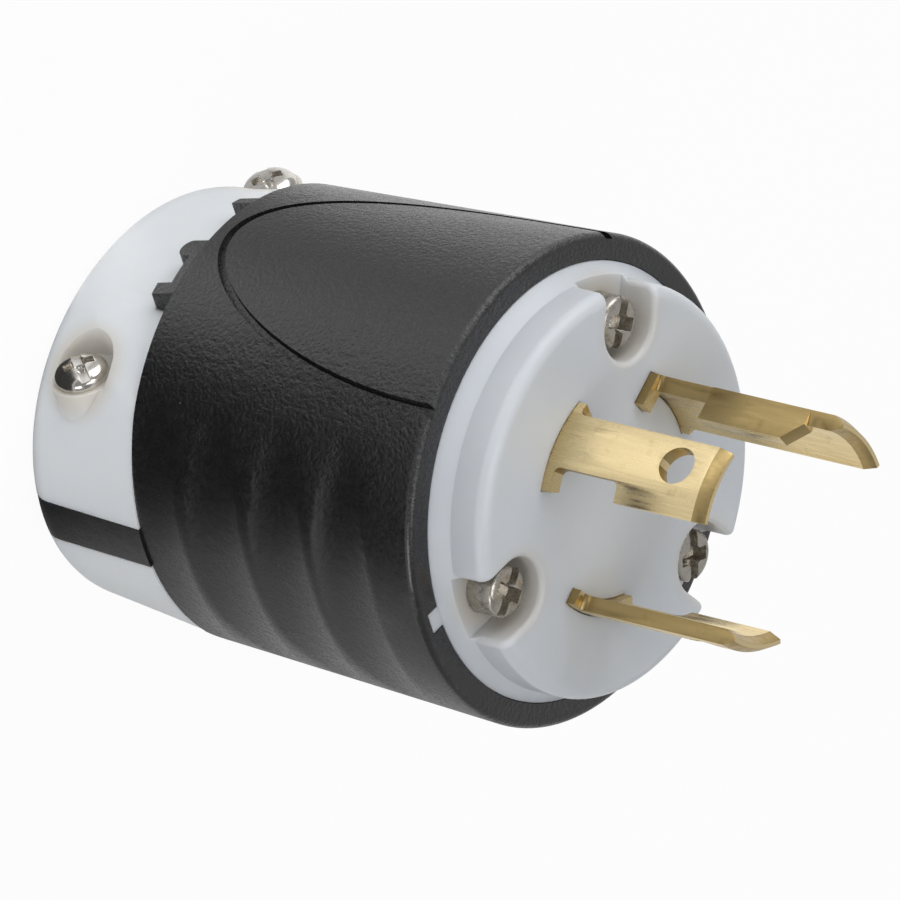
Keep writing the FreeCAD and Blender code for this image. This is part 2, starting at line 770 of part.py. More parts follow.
def blade_slot(name, start, before, after, sweep, grow, bottom, top):
    """The slot for a blade's stem, larger than it by a fit all round, as a cutting solid."""
    ring = cut(
        name + "_slot_ring",
        cylinder(name + "_slot_outer", S["blade_outer_radius"] + grow, top - bottom, z=bottom),
        cylinder(name + "_slot_inner", BLADE_INNER_RADIUS - grow, top - bottom, z=bottom),
    )
    play = grow / S["blade_outer_radius"] * (180 / math.pi)
    width = before + sweep + after + 2 * play
    pie = wedge(name + "_slot_pie", start - before - play, width, BEYOND, bottom, top - bottom)
    return common(name + "_slot", ring, pie)


def all_blade_slots(prefix, bottom, top, wing):
    """The slots for the three stems between two levels, widened on both sides by a wing."""
    grow = S["fit"]
    hot = S["hot_blade_start_angle"]
    neutral = S["neutral_blade_start_angle"]
    before = S["line_shoulder_before_angle"] + wing
    after = S["line_shoulder_after_angle"] + wing
    sweep = S["line_blade_sweep_angle"]
    ground_before = S["ground_shoulder_before_angle"] + wing
    ground = (S["ground_blade_start_angle"], ground_before, term(wing), S["ground_blade_sweep_angle"])
    return [
        blade_slot(prefix + "_hot", hot, before, after, sweep, grow, bottom, top),
        blade_slot(prefix + "_neutral", neutral, before, after, sweep, grow, bottom, top),
        blade_slot(prefix + "_ground", *ground, grow, bottom, top),
    ]


def ground_flange_slot(name, bottom, top):
    """The slot for the root flange of the ground blade, as a cutting solid."""
    fit = S["fit"]
    made = DOC.addObject("Part::Box", name)
    bind(
        made,
        Length=S["ground_flange_root"] + fit,
        Width=S["blade_thickness"] + 2 * fit,
        Height=top - bottom,
    )
    angle = S["ground_flange_angle"]
    corner = S["ground_blade_start_angle"] + S["ground_blade_sweep_angle"]
    x = S["blade_outer_radius"] * cosine(corner) + fit * sine(angle)
    y = S["blade_outer_radius"] * sine(corner) - fit * cosine(angle)
    return place(made, x, y, bottom, turn=angle)


def front_body():
    """The white face: a flange in the mouth of the sleeve, and a raised drum with three notches."""
    blank = turned_body(
        "front_blank",
        [
            (CORE_RADIUS, SHOULDER),
            (FLANGE_RADIUS, SHOULDER),
            (FLANGE_RADIUS, RIM),
            (DRUM_RADIUS, RIM + S["foot_height"]),
            (DRUM_RADIUS, FACE),
            (0, FACE),
            (0, FACE - S["face_wall"]),
            (CORE_RADIUS, FACE - S["face_wall"]),
        ],
        [(DRUM_RADIUS, FACE, S["drum_rounding"])],
    )
    reach = FLANGE_RADIUS + S["key_reach"] - DRUM_RADIUS + 1
    key = turned_box(
        "front_key", reach, S["key_width"], S["foot_height"] - S["fit"], 0, DRUM_RADIUS - 1,
        RIM - S["foot_height"] + S["fit"],
    )
    notches = []
    removed = all_blade_slots("front", SHOULDER - 1, FACE + 1, term(0))
    removed.append(ground_flange_slot("front_flange_slot", SHOULDER - 1, FACE + 1))
    rise = FACE - NOTCH_FLOOR + 1
    width = S["notch_radius"] * 2
    for number, angle in SCREW_ANGLES.items():
        x = SCREW_CIRCLE * cosine(angle)
        y = SCREW_CIRCLE * sine(angle)
        bowl = cylinder(f"notch_round_{number}", S["notch_radius"], rise, x, y, NOTCH_FLOOR)
        way = turned_box(f"notch_way_{number}", 10, width, rise, angle, SCREW_CIRCLE, NOTCH_FLOOR)
        notches.append(fuse(f"notch_{number}", bowl, way))
        hole = S["face_screw_shank_radius"] + S["fit"]
        removed.append(cylinder(f"face_hole_{number}", hole, BEYOND, x, y, SHOULDER - 1))
    notched = cut("front_notched", blank, *notches)
    DOC.recompute()
    rounded = DOC.addObject("Part::Fillet", "front_rounded")
    rounded.Base = notched
    size = S["notch_rounding"].number
    rounded.Edges = [(number, size, size) for number in notch_lips(notched.Shape)]
    DOC.recompute()
    return named(cut("front_part", fuse("front_sum", rounded, key), *removed), "front_body")


def notch_lips(shape):
    """The numbers of the edges where the walls of the notches meet the drum's side, rounding and top."""
    found = []
    for number, edge in enumerate(shape.Edges, start=1):
        points = edge.discretize(5)
        if all(on_drum(point) and on_notch_wall(point) for point in points):
            found.append(number)
    if not found:
        raise ValueError("the notches have no lips")
    return found


def on_drum(point):
    """Whether a point is on the drum's side, rounding or top, and not under the floor of the notches."""
    on_side = abs(math.hypot(point.x, point.y) - DRUM_RADIUS.number) < 1e-3
    above = point.z > (FACE - S["drum_rounding"]).number - 1e-3
    return point.z > NOTCH_FLOOR.number - 1e-4 and (on_side or above)


def on_notch_wall(point):
    """Whether a point is on the wall of the notch nearest to it."""
    angle = math.degrees(math.atan2(point.y, point.x))
    nearest = min(SCREW_ANGLES.values(), key=lambda screw: abs((angle - screw + 180) % 360 - 180))
    turn = math.radians(nearest)
    along = point.x * math.cos(turn) + point.y * math.sin(turn) - SCREW_CIRCLE.number
    across = -point.x * math.sin(turn) + point.y * math.cos(turn)
    distance = math.hypot(along, across) if along < 0 else abs(across)
    return abs(distance - S["notch_radius"].number) < 1e-3


HOT_TERMINAL_ANGLE = line_terminal_angle(S["hot_blade_start_angle"])
NEUTRAL_TERMINAL_ANGLE = line_terminal_angle(S["neutral_blade_start_angle"])
GROUND_TERMINAL_ANGLE = terminal_angle(
    S["ground_blade_start_angle"], S["ground_shoulder_before_angle"], term(0), S["ground_blade_sweep_angle"]
)
TERMINALS = {
    "hot": HOT_TERMINAL_ANGLE,
    "neutral": NEUTRAL_TERMINAL_ANGLE,
    "ground": GROUND_TERMINAL_ANGLE,
}


def terminal_carrier():
    """The insulating block behind the face, with a pocket for each wire and a way for each driver."""
    disc = cylinder("carrier_disc", CARRIER_RADIUS, SHOULDER - CARRIER_REAR, z=CARRIER_REAR)
    spigot = cylinder(
        "carrier_spigot", CORE_RADIUS - S["fit"], S["carrier_spigot_height"] + 1, z=SHOULDER - 1
    )
    removed = all_blade_slots("carrier", BLADE_ROOT, FACE, S["blade_wing_sweep_angle"])
    removed.append(ground_flange_slot("carrier_flange_slot", SHOULDER, FACE))
    for number, angle in SCREW_ANGLES.items():
        x = SCREW_CIRCLE * cosine(angle)
        y = SCREW_CIRCLE * sine(angle)
        clear = S["boss_radius"] + 3 * S["fit"]
        start = CARRIER_REAR - 1
        rise = BOSS_TOP - start
        removed.append(cylinder(f"carrier_round_{number}", clear, rise, x, y, start))
        removed.append(
            turned_box(f"carrier_way_{number}", 10, clear * 2, rise, angle, SCREW_CIRCLE, start)
        )
        hole = S["face_screw_shank_radius"] + S["fit"]
        removed.append(cylinder(f"carrier_hole_{number}", hole, BEYOND, x, y, start))
    depth = S["wire_pocket_depth"]
    width = S["wire_clamp_side"] + 6 * S["fit"]
    pocket_top = TERMINAL_LEVEL + S["wire_clamp_side"] / 2 + 2 * S["fit"]
    for name, angle in TERMINALS.items():
        removed.append(
            turned_box(
                f"{name}_pocket",
                depth,
                width,
                pocket_top - CARRIER_REAR + 1,
                angle,
                BLADE_INNER_RADIUS - depth,
                CARRIER_REAR - 1,
            )
        )
        way = S["terminal_screw_head_radius"] + 4 * S["fit"]
        start = BLADE_INNER_RADIUS
        removed.append(radial_hole(f"{name}_driver_way", way, angle, TERMINAL_LEVEL, start, BEYOND))
    return named(cut("carrier_part", fuse("carrier_sum", disc, spigot), *removed), "terminal_carrier")


def wire_clamp(name, angle):
    """A square threaded plate that the terminal screw pulls towards the blade's stem."""
    side = S["wire_clamp_side"]
    thickness = S["wire_clamp_thickness"]
    start = BLADE_INNER_RADIUS - S["wire_gap"] - thickness
    plate = turned_box(name + "_plate", thickness, side, side, angle, start, TERMINAL_LEVEL - side / 2)
    thread = S["terminal_screw_shank_radius"]
    hole = radial_hole(name + "_thread", thread, angle, TERMINAL_LEVEL, start - 1, thickness + 2)
    return named(cut(name + "_part", plate, hole), name)


def terminal_screw(name, angle):
    made = pan_screw(
        name + "_part",
        S["terminal_screw_head_radius"],
        S["terminal_screw_head_height"],
        S["terminal_screw_shank_radius"],
        S["terminal_screw_length"],
        S["terminal_screw_dome"],
    )
    place_radially(made, angle, S["blade_outer_radius"], TERMINAL_LEVEL)
    return named(made, name)


def face_screw(number, angle):
    made = pan_screw(
        f"face_screw_{number}_part",
        S["face_screw_head_radius"],
        S["face_screw_head_height"],
        S["face_screw_shank_radius"],
        S["face_screw_length"],
        S["face_screw_dome"],
    )
    x = SCREW_CIRCLE * cosine(angle)
    y = SCREW_CIRCLE * sine(angle)
    place(made, x, y, NOTCH_FLOOR, turn=FACE_SLOT_ANGLES[number])
    return named(made, f"face_screw_{number}")


def jaw_half(name, side, blank):
    """One half of the clamp blank, with its corners by the arms and the mouth of the cord way.

    The side is -1 for the upper jaw, which faces -Y, and 1 for the lower.
    """
    gap = S["jaw_gap"] / 2
    reach = 2 * BEYOND
    slab = box(name + "_slab", reach, BEYOND, S["clamp_length"], 0, side * (gap + BEYOND / 2), 0)
    half = common(name + "_half", blank, slab)
    removed = [cylinder(name + "_bore", S["cord_bore_radius"], S["clamp_length"] + 2, z=-1)]
    first = S["clamp_length"] / 2 - S["bore_groove_pitch"] * ((BORE_GROOVE_COUNT - 1) / 2)
    for number in range(BORE_GROOVE_COUNT):
        level = first + S["bore_groove_pitch"] * number - S["bore_groove_width"] / 2
        radius = S["cord_bore_radius"] + S["bore_groove_depth"]
        removed.append(cylinder(f"{name}_groove_{number + 1}", radius, S["bore_groove_width"], z=level))
    for way, word in ((1, "right"), (-1, "left")):
        clear = S["fit"] * 1.5
        middle = way * (CLAMP_END_HALF_WIDTH - S["arm_thickness"] / 2 + 2 - clear / 2)
        removed.append(
            box(
                f"{name}_arm_way_{word}",
                S["arm_thickness"] + 4 + clear,
                S["arm_width"] + 2 * clear,
                S["clamp_length"] + 2,
                middle,
                0,
                -1,
            )
        )
    return half, removed


def screw_ways(name, radius, y_start, length):
    """The holes of the two clamp screws in one jaw."""
    ways = []
    for way, word in ((1, "right"), (-1, "left")):
        x = way * CLAMP_SCREW_OFFSET
        ways.append(
            cylinder_along_y(f"{name}_way_{word}", radius, length, x, y_start, S["clamp_screw_height"])
        )
    return ways


def upper_jaw(blank):
    """The jaw on the label side, with a flat seat for each screw's head."""
    half, removed = jaw_half("upper", -1, blank)
    crown = cylinder(
        "upper_crown", S["crown_radius"], S["clamp_length"], 0, S["crown_radius"] - CROWN_HEIGHT, 0
    )
    added = [common("upper_crowned", half, crown)]
    seat = CLAMP_SCREW_SEAT
    level = S["clamp_screw_height"]
    pad = S["screw_pad_radius"]
    pocket = S["screw_pocket_radius"]
    for way, word in ((1, "right"), (-1, "left")):
        x = way * CLAMP_SCREW_OFFSET
        added.append(cylinder_along_y(f"upper_pad_{word}", pad, seat / 2, x, -seat, level))
        removed.append(cylinder_along_y(f"upper_seat_{word}", pocket, BEYOND - seat, x, -BEYOND, level))
    removed += tooth_solids("pocket", 1.5 * S["fit"])
    clearance = S["clamp_screw_shank_radius"] + S["fit"]
    removed += screw_ways("upper", clearance, -seat - 1, seat + 1)
    return named(cut("upper_jaw_part", fuse("upper_sum", *added), *removed), "upper_jaw")


def lower_jaw(blank):
    """The jaw on the far side, into which the two clamp screws cut their threads."""
    half, removed = jaw_half("lower", 1, blank)
    depth = CLAMP_SCREW_LENGTH - CLAMP_SCREW_SEAT + S["thread_relief"]
    removed += screw_ways("lower", S["clamp_screw_shank_radius"], 0, depth)
    return named(cut("lower_jaw_part", half, *removed), "lower_jaw")


def clamp_screw(number, way):
    made = pan_screw(
        f"clamp_screw_{number}_part",
        S["clamp_screw_head_radius"],
        S["clamp_screw_head_height"],
        S["clamp_screw_shank_radius"],
        CLAMP_SCREW_LENGTH,
        S["clamp_screw_dome"],
    )
    tilt = FreeCAD.Rotation(FreeCAD.Vector(1, 0, 0), 90)
    slot_turn = FreeCAD.Rotation(FreeCAD.Vector(0, 0, 1), CLAMP_SLOT_ANGLE)
    made.Placement = FreeCAD.Placement(FreeCAD.Vector(), tilt.multiply(slot_turn))
    place(made, way * CLAMP_SCREW_OFFSET, -CLAMP_SCREW_SEAT, S["clamp_screw_height"])
    return named(made, f"clamp_screw_{number}")


def cord_seal():
    """A flexible disc on the inner side of the rear wall."""
    radius = CAVITY_REAR_RADIUS - 3 * S["fit"]
    disc = cylinder("seal_disc", radius, S["seal_thickness"], z=WALL_TOP)
    opening = cylinder("seal_opening", S["seal_opening_radius"], S["seal_thickness"] + 2, z=WALL_TOP - 1)
    return named(cut("seal_part", disc, opening), "cord_seal")


def build():
    """Makes every sub-part and returns them."""
    blank = clamp_blank()
    made = [
        sleeve(blank),
        front_body(),
        terminal_carrier(),
        line_blade("hot_blade", S["hot_blade_start_angle"]),
        line_blade("neutral_blade", S["neutral_blade_start_angle"]),
        ground_blade(),
        upper_jaw(blank),
        lower_jaw(blank),
        cord_seal(),
    ]
    for number, angle in SCREW_ANGLES.items():
        made.append(face_screw(number, angle))
    for name, angle in TERMINALS.items():
        made.append(terminal_screw(f"{name}_terminal_screw", angle))
        made.append(wire_clamp(f"{name}_wire_clamp", angle))
    for number, way in ((1, 1), (2, -1)):
        made.append(clamp_screw(number, way))
    return made


def check_and_write(parts):
    """Stops on any failed object or bad shape, then writes each sub-part to its own file."""
    DOC.recompute()
    for thing in DOC.Objects:
        if "Invalid" in thing.State or "Error" in thing.State:
            raise RuntimeError(f"{thing.Name} failed: {thing.State}")
    for thing in parts:
        shape = thing.Shape
        if shape.isNull() or not shape.isValid():
            raise RuntimeError(f"{thing.Label} has no valid shape")
        if len(shape.Solids) != 1:
            raise RuntimeError(f"{thing.Label} has {len(shape.Solids)} solids")
    os.makedirs("parts", exist_ok=True)
    for thing in parts:
        thing.Shape.exportStep(os.path.join("parts", thing.Label + ".step"))
        print(f"{thing.Label}: {thing.Shape.Volume:.1f} mm3")


check_and_write(build())
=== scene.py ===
"""The looks of a locking power plug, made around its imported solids.

The plug stands on the flat rear end of its cord clamp, and +Z runs along it to the tips of the blades. The
label panel and the upper clamp jaw face -Y, and the two arms with the finger grips lie at +X and -X.
Sizes in the classes are in millimetres, and angles are in degrees about Z, from +X.
"""

import logging
import math
from dataclasses import dataclass, field
from enum import Enum
from typing import Callable, Sequence

import bpy
from mathutils import Matrix, Vector


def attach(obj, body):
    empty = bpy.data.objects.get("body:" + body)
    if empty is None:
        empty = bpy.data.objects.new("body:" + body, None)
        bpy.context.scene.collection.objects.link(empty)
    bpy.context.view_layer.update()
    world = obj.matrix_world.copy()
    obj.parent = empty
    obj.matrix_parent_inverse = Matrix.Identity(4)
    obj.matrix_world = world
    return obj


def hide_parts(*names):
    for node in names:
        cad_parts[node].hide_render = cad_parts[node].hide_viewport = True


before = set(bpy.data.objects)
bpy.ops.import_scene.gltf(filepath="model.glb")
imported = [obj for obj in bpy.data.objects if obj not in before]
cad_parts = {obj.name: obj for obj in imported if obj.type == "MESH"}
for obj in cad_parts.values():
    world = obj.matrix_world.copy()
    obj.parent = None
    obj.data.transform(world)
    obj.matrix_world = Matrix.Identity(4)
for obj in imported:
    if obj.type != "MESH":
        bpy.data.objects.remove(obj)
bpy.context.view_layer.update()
LOG = logging.getLogger("locking_plug")
MM = 0.001

# Levels along the plug, from the rear end, in millimetres
FACE_REAR = 49.8
NOTCH_FLOOR = 55.3
FACE = 59.8

# The level that the lamps look at, in millimetres
LIT_LEVEL = 42.0

# Vertices nearer than this are merged, in millimetres: on a finished mesh, and after a cut
SEAM = 0.002
CUT_SEAM = 0.02

# How near a point has to be to count as on an edge, in millimetres
NEAR = 0.01

# Faces that meet at less than this are one flat face, in degrees
FLAT_ANGLE = 0.5

# Middles of the screws' heads, in millimetres
FACE_SCREW_HEADS = ((17.1, 0.0, 57.0), (-8.55, 14.81, 57.0), (-8.55, -14.81, 57.0))
CLAMP_SCREW_HEADS = ((16.1, -15.5, 7.2), (-16.1, -15.5, 7.2))


class Slot(Enum):
    """The record's material slots."""

    BLACK_NYLON = "black_nylon"
    WHITE_NYLON = "white_nylon"
    SEAL_RUBBER = "seal_rubber"
    BLADE_BRASS = "blade_brass"
    PLATED_STEEL = "plated_steel"


def pick_nothing() -> None:
    """Deselects everything, so that an operator acts on what it adds alone."""
    if bpy.context.object and bpy.context.mode != "OBJECT":
        bpy.ops.object.mode_set(mode="OBJECT")
    bpy.ops.object.select_all(action="DESELECT")


def pick(piece: bpy.types.Object) -> None:
    """Selects one piece alone and makes it active."""
    pick_nothing()
    piece.select_set(True)
    bpy.context.view_layer.objects.active = piece


def settle(piece: bpy.types.Object) -> bpy.types.Object:
    """Puts a piece's place and size into its mesh.

    Args:
        piece: the piece to settle.

    Returns:
        The same piece, at the origin, unturned and unscaled.
    """
    pick(piece)
    bpy.ops.object.transform_apply(location=True, rotation=True, scale=True)
    return piece


def apply_modifier(piece: bpy.types.Object, kind: str, **settings: object) -> None:
    """Adds a modifier to a piece, sets it and applies it.

    Args:
        piece: the piece that the modifier shapes.
        kind: Blender's word for the modifier.
        **settings: the modifier's own settings.
    """
    pick(piece)
    modifier = piece.modifiers.new(kind.title(), kind)
    for name, value in settings.items():
        setattr(modifier, name, value)
    bpy.ops.object.modifier_apply(modifier=modifier.name)


def carve(piece: bpy.types.Object, *cutters: bpy.types.Object) -> None:
    """Takes each cutter's shape out of a piece, and then deletes the cutter.

    Args:
        piece: the piece that is cut.
        *cutters: closed meshes.
    """
    for cutter in cutters:
        apply_modifier(piece, "BOOLEAN", operation="DIFFERENCE", solver="EXACT", object=cutter)
        bpy.data.objects.remove(cutter)


def join(piece: bpy.types.Object, *others: bpy.types.Object) -> None:
    """Joins closed meshes to a piece, and then deletes them.

    Args:
        piece: the piece that grows.
        *others: closed meshes that overlap it.
    """
    for other in others:
        apply_modifier(piece, "BOOLEAN", operation="UNION", solver="EXACT", object=other)
        bpy.data.objects.remove(other)


def soften(piece: bpy.types.Object, width: float, segments: int = 2, angle: float = 30.0) -> None:
    """Rounds a piece's sharp edges.

    Args:
        piece: the piece whose edges are rounded.
        width: how wide the rounding is, in millimetres.
        segments: how many faces it has across.
        angle: the least angle between faces that counts as an edge.
    """
    apply_modifier(
        piece,
        "BEVEL",
        width=width * MM,
        segments=segments,
        limit_method="ANGLE",
        angle_limit=math.radians(angle),
        use_clamp_overlap=True,
        miter_outer="MITER_ARC",
    )


def smooth(piece: bpy.types.Object, angle: float = 35.0) -> None:
    """Shades a piece smooth, apart from edges sharper than an angle."""
    pick(piece)
    bpy.ops.object.shade_smooth_by_angle(angle=math.radians(angle))


def close_up(piece: bpy.types.Object, gap: float = SEAM) -> None:
    """Merges the vertices of a piece that lie within a gap, in millimetres, of each other."""
    pick(piece)
    bpy.ops.object.mode_set(mode="EDIT")
    bpy.ops.mesh.select_all(action="SELECT")
    bpy.ops.mesh.remove_doubles(threshold=gap * MM)
    bpy.ops.object.mode_set(mode="OBJECT")


def turned(name: str, profile: Sequence[tuple[float, float]], sides: int = 96) -> bpy.types.Object:
    """Turns a closed solid about Z: a circle is extruded and resized from corner to corner.

    Args:
        name: the piece's name.
        profile: (radius, level) corners in millimetres, from one end to the other.
        sides: how many sides the circle has.

    Returns:
        The piece, closed at both ends.
    """
    pick_nothing()
    radius, level = profile[0]
    bpy.ops.mesh.primitive_circle_add(
        vertices=sides, radius=radius * MM, fill_type="NGON", location=(0, 0, level * MM)
    )
    piece = bpy.context.object
    piece.name = name
    settle(piece)
    bpy.ops.object.mode_set(mode="EDIT")
    bpy.ops.mesh.select_all(action="SELECT")
    for next_radius, next_level in profile[1:]:
        rise = (next_level - level) * MM
        bpy.ops.mesh.extrude_region_move(TRANSFORM_OT_translate={"value": (0, 0, rise)})
        ratio = next_radius / radius
        bpy.ops.transform.resize(value=(ratio, ratio, 1), center_override=(0, 0, next_level * MM))
        radius, level = next_radius, next_level
    bpy.ops.mesh.select_all(action="SELECT")
    bpy.ops.mesh.normals_make_consistent(inside=False)
    bpy.ops.object.mode_set(mode="OBJECT")
    return piece


def block(name: str, size: Sequence[float], middle: Sequence[float], turn: float = 0.0) -> bpy.types.Object:
    """A box of a size in millimetres, turned about Z by an angle in degrees."""
    pick_nothing()
    bpy.ops.mesh.primitive_cube_add(
        size=1, location=[part * MM for part in middle], rotation=(0, 0, math.radians(turn))
    )
    piece = bpy.context.object
    piece.name = name
    piece.scale = [part * MM for part in size]
    return settle(piece)


def sector(
    name: str,
    radii: tuple[float, float],
    start: float,
    sweep: float,
    levels: tuple[float, float],
    tip: tuple[float, float] | None = None,
    steps: int = 24,
) -> bpy.types.Object:
    """A curved bar: a plane that stands on a radius is spun about Z.

    Args:
        name: the piece's name.
        radii: its inner and outer radius, in millimetres.
        start: the angle at which it starts.
        sweep: how far it goes round.
        levels: its lower and upper level.
        tip: the height and the thickness of a tip that narrows from the upper level, if it has one.
        steps: how many faces it has along the curve.

    Returns:
        The piece.
    """
    pick_nothing()
    turn = math.radians(start)
    middle = sum(radii) / 2
    place = (middle * math.cos(turn), middle * math.sin(turn), sum(levels) / 2)
    bpy.ops.mesh.primitive_plane_add(
        size=1, location=[part * MM for part in place], rotation=(math.pi / 2, 0, turn)
    )
    piece = bpy.context.object
    piece.name = name
    thickness = radii[1] - radii[0]
    piece.scale = (thickness * MM, (levels[1] - levels[0]) * MM, 1)
    settle(piece)
    bpy.ops.object.mode_set(mode="EDIT")
    if tip:
        select_edges(piece, lambda point: point.z > levels[1] - NEAR)
        bpy.ops.mesh.extrude_region_move(TRANSFORM_OT_translate={"value": (0, 0, tip[0] * MM)})
        ratio = tip[1] / thickness
        centre = (place[0] * MM, place[1] * MM, (levels[1] + tip[0]) * MM)
        bpy.ops.transform.resize(value=(ratio, ratio, 1), center_override=centre)
    bpy.ops.mesh.select_all(action="SELECT")
    bpy.ops.mesh.spin(steps=steps, angle=-math.radians(sweep), center=(0, 0, 0), axis=(0, 0, 1))
    bpy.ops.mesh.select_all(action="SELECT")
    bpy.ops.mesh.normals_make_consistent(inside=False)
    bpy.ops.object.mode_set(mode="OBJECT")
    return piece


def select_edges(piece: bpy.types.Object, wanted: Callable[[Vector], bool]) -> None:
    """Selects the edges whose two ends are both wanted, and leaves the piece in edit mode.

    Args:
        piece: the piece, active and alone.
        wanted: whether a point in millimetres belongs.
    """
    bpy.ops.object.mode_set(mode="EDIT")
    bpy.ops.mesh.select_mode(type="EDGE")
    bpy.ops.mesh.select_all(action="DESELECT")
    bpy.ops.object.mode_set(mode="OBJECT")
    mesh = piece.data
    kept = [wanted(vertex.co / MM) for vertex in mesh.vertices]
    for edge in mesh.edges:
        edge.select = kept[edge.vertices[0]] and kept[edge.vertices[1]]
    bpy.ops.object.mode_set(mode="EDIT")


def round_edges(
    piece: bpy.types.Object, wanted: Callable[[Vector], bool], width: float, segments: int
) -> None:
    """Rounds the edges of a piece whose ends are wanted.

    Args:
        piece: the piece.
        wanted: whether a point in millimetres belongs to such an edge.
        width: how wide the rounding is, in millimetres.
        segments: how many faces it has across.
    """
    pick(piece)
    select_edges(piece, wanted)
    bpy.ops.mesh.bevel(offset=width * MM, segments=segments, affect="EDGES", clamp_overlap=True)
    bpy.ops.object.mode_set(mode="OBJECT")


def angle_of(point: Vector) -> float:
    """A point's angle about Z, in degrees from 0 to 360."""
    return math.degrees(math.atan2(point.y, point.x)) % 360


def merged_copy(node: str, name: str) -> bpy.types.Object:
    """Copies a CAD node's mesh as a piece whose triangles are merged into clean faces.

    Args:
        node: the CAD node's name.
        name: the new piece's name.

    Returns:
        The new piece.
    """
    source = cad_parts[node]
    mesh = source.data.copy()
    piece = bpy.data.objects.new(name, mesh)
    bpy.context.scene.collection.objects.link(piece)
    mesh.materials.clear()
    pick(piece)
    bpy.ops.object.mode_set(mode="EDIT")
    bpy.ops.mesh.select_all(action="SELECT")
    bpy.ops.mesh.remove_doubles(threshold=SEAM * MM)
    bpy.ops.mesh.dissolve_limited(angle_limit=math.radians(FLAT_ANGLE))
    bpy.ops.object.mode_set(mode="OBJECT")
    if "custom_normal" in mesh.attributes:
        mesh.attributes.remove(mesh.attributes["custom_normal"])
    return piece


@dataclass(frozen=True)
class Paint:
    """Shader nodes that the finishes share."""

    name: str

    def start(self) -> tuple[bpy.types.Material, bpy.types.ShaderNodeTree, bpy.types.Node]:
        """Makes a material with only its shader.

        Returns:
            The material, its node tree and its Principled shader.
        """
        material = bpy.data.materials.new(self.name)
        material.use_nodes = True
        tree = material.node_tree
        return material, tree, tree.nodes["Principled BSDF"]

    @staticmethod
    def add(tree: bpy.types.ShaderNodeTree, kind: str, **inputs: object) -> bpy.types.Node:
        """Adds a node and sets its inputs.

        Args:
            tree: the node tree.
            kind: the node's type.
            **inputs: values by input name, with underscores for spaces; a socket is linked.

        Returns:
            The new node.
        """
        node = tree.nodes.new(kind)
        for name, value in inputs.items():
            socket = node.inputs[name.replace("_", " ")]
            if isinstance(value, bpy.types.NodeSocket):
                tree.links.new(value, socket)
            else:
                socket.default_value = value
        return node

    @classmethod
    def place(
        cls, tree: bpy.types.ShaderNodeTree, scale: Sequence[float] = (1, 1, 1)
    ) -> bpy.types.NodeSocket:
        """The place on the object in millimetres, stretched by a scale."""
        at = tree.nodes.new("ShaderNodeTexCoord")
        mapping = cls.add(tree, "ShaderNodeMapping", Vector=at.outputs["Object"])
        mapping.inputs["Scale"].default_value = [s / MM for s in scale]
        return mapping.outputs["Vector"]

    @classmethod
    def noise(
        cls,
        tree: bpy.types.ShaderNodeTree,
        place: bpy.types.NodeSocket,
        scale: float,
        detail: float = 2.0,
        roughness: float = 0.5,
    ) -> bpy.types.NodeSocket:
        """Noise whose scale is in features per millimetre."""
        inputs = {"Vector": place, "Scale": scale, "Detail": detail, "Roughness": roughness}
        return cls.add(tree, "ShaderNodeTexNoise", **inputs).outputs["Fac"]

    @classmethod
    def ramp(
        cls,
        tree: bpy.types.ShaderNodeTree,
        value: bpy.types.NodeSocket,
        low: float,
        high: float,
        to_low: float = 0.0,
        to_high: float = 1.0,
    ) -> bpy.types.NodeSocket:
        """A value eased from one range to another, held at its ends."""
        limits = {"From_Min": low, "From_Max": high, "To_Min": to_low, "To_Max": to_high}
        node = cls.add(tree, "ShaderNodeMapRange", Value=value, **limits)
        node.interpolation_type = "SMOOTHSTEP"
        return node.outputs["Result"]

    @classmethod
    def blend(
        cls,
        tree: bpy.types.ShaderNodeTree,
        share: bpy.types.NodeSocket,
        first: object,
        second: object,
    ) -> bpy.types.NodeSocket:
        """Two colours mixed by a share; each may be a colour or a socket."""
        node = tree.nodes.new("ShaderNodeMix")
        node.data_type = "RGBA"
        tree.links.new(share, node.inputs["Factor"])
        sides = [socket for socket in node.inputs if socket.type == "RGBA"]
        for socket, value in zip(sides, (first, second)):
            if isinstance(value, bpy.types.NodeSocket):
                tree.links.new(value, socket)
            else:
                socket.default_value = (*value, 1.0)
        return next(output for output in node.outputs if output.type == "RGBA")

    @classmethod
    def calculate(
        cls, tree: bpy.types.ShaderNodeTree, kind: str, first: object, second: object = 0.0
    ) -> bpy.types.NodeSocket:
        """The result of a Math node."""
        node = tree.nodes.new("ShaderNodeMath")
        node.operation = kind
        for socket, value in zip(node.inputs, (first, second)):
            if isinstance(value, bpy.types.NodeSocket):
                tree.links.new(value, socket)
            else:
                socket.default_value = value
        return node.outputs[0]

    @classmethod
    def measure(
        cls,
        tree: bpy.types.ShaderNodeTree,
        kind: str,
        place: bpy.types.NodeSocket,
        other: Sequence[float] = (0, 0, 0),
    ) -> bpy.types.NodeSocket:
        """The number that a Vector Math node finds for a place and a fixed vector."""
        node = tree.nodes.new("ShaderNodeVectorMath")
        node.operation = kind
        tree.links.new(place, node.inputs[0])
        node.inputs[1].default_value = other
        return node.outputs["Value"]

    @classmethod
    def bump(
        cls,
        tree: bpy.types.ShaderNodeTree,
        height: bpy.types.NodeSocket,
        distance: float,
        strength: float = 1.0,
        normal: bpy.types.NodeSocket | None = None,
    ) -> bpy.types.NodeSocket:
        """A bump of so many millimetres."""
        node = cls.add(tree, "ShaderNodeBump", Height=height, Distance=distance * MM, Strength=strength)
        if normal is not None:
            tree.links.new(normal, node.inputs["Normal"])
        return node.outputs["Normal"]


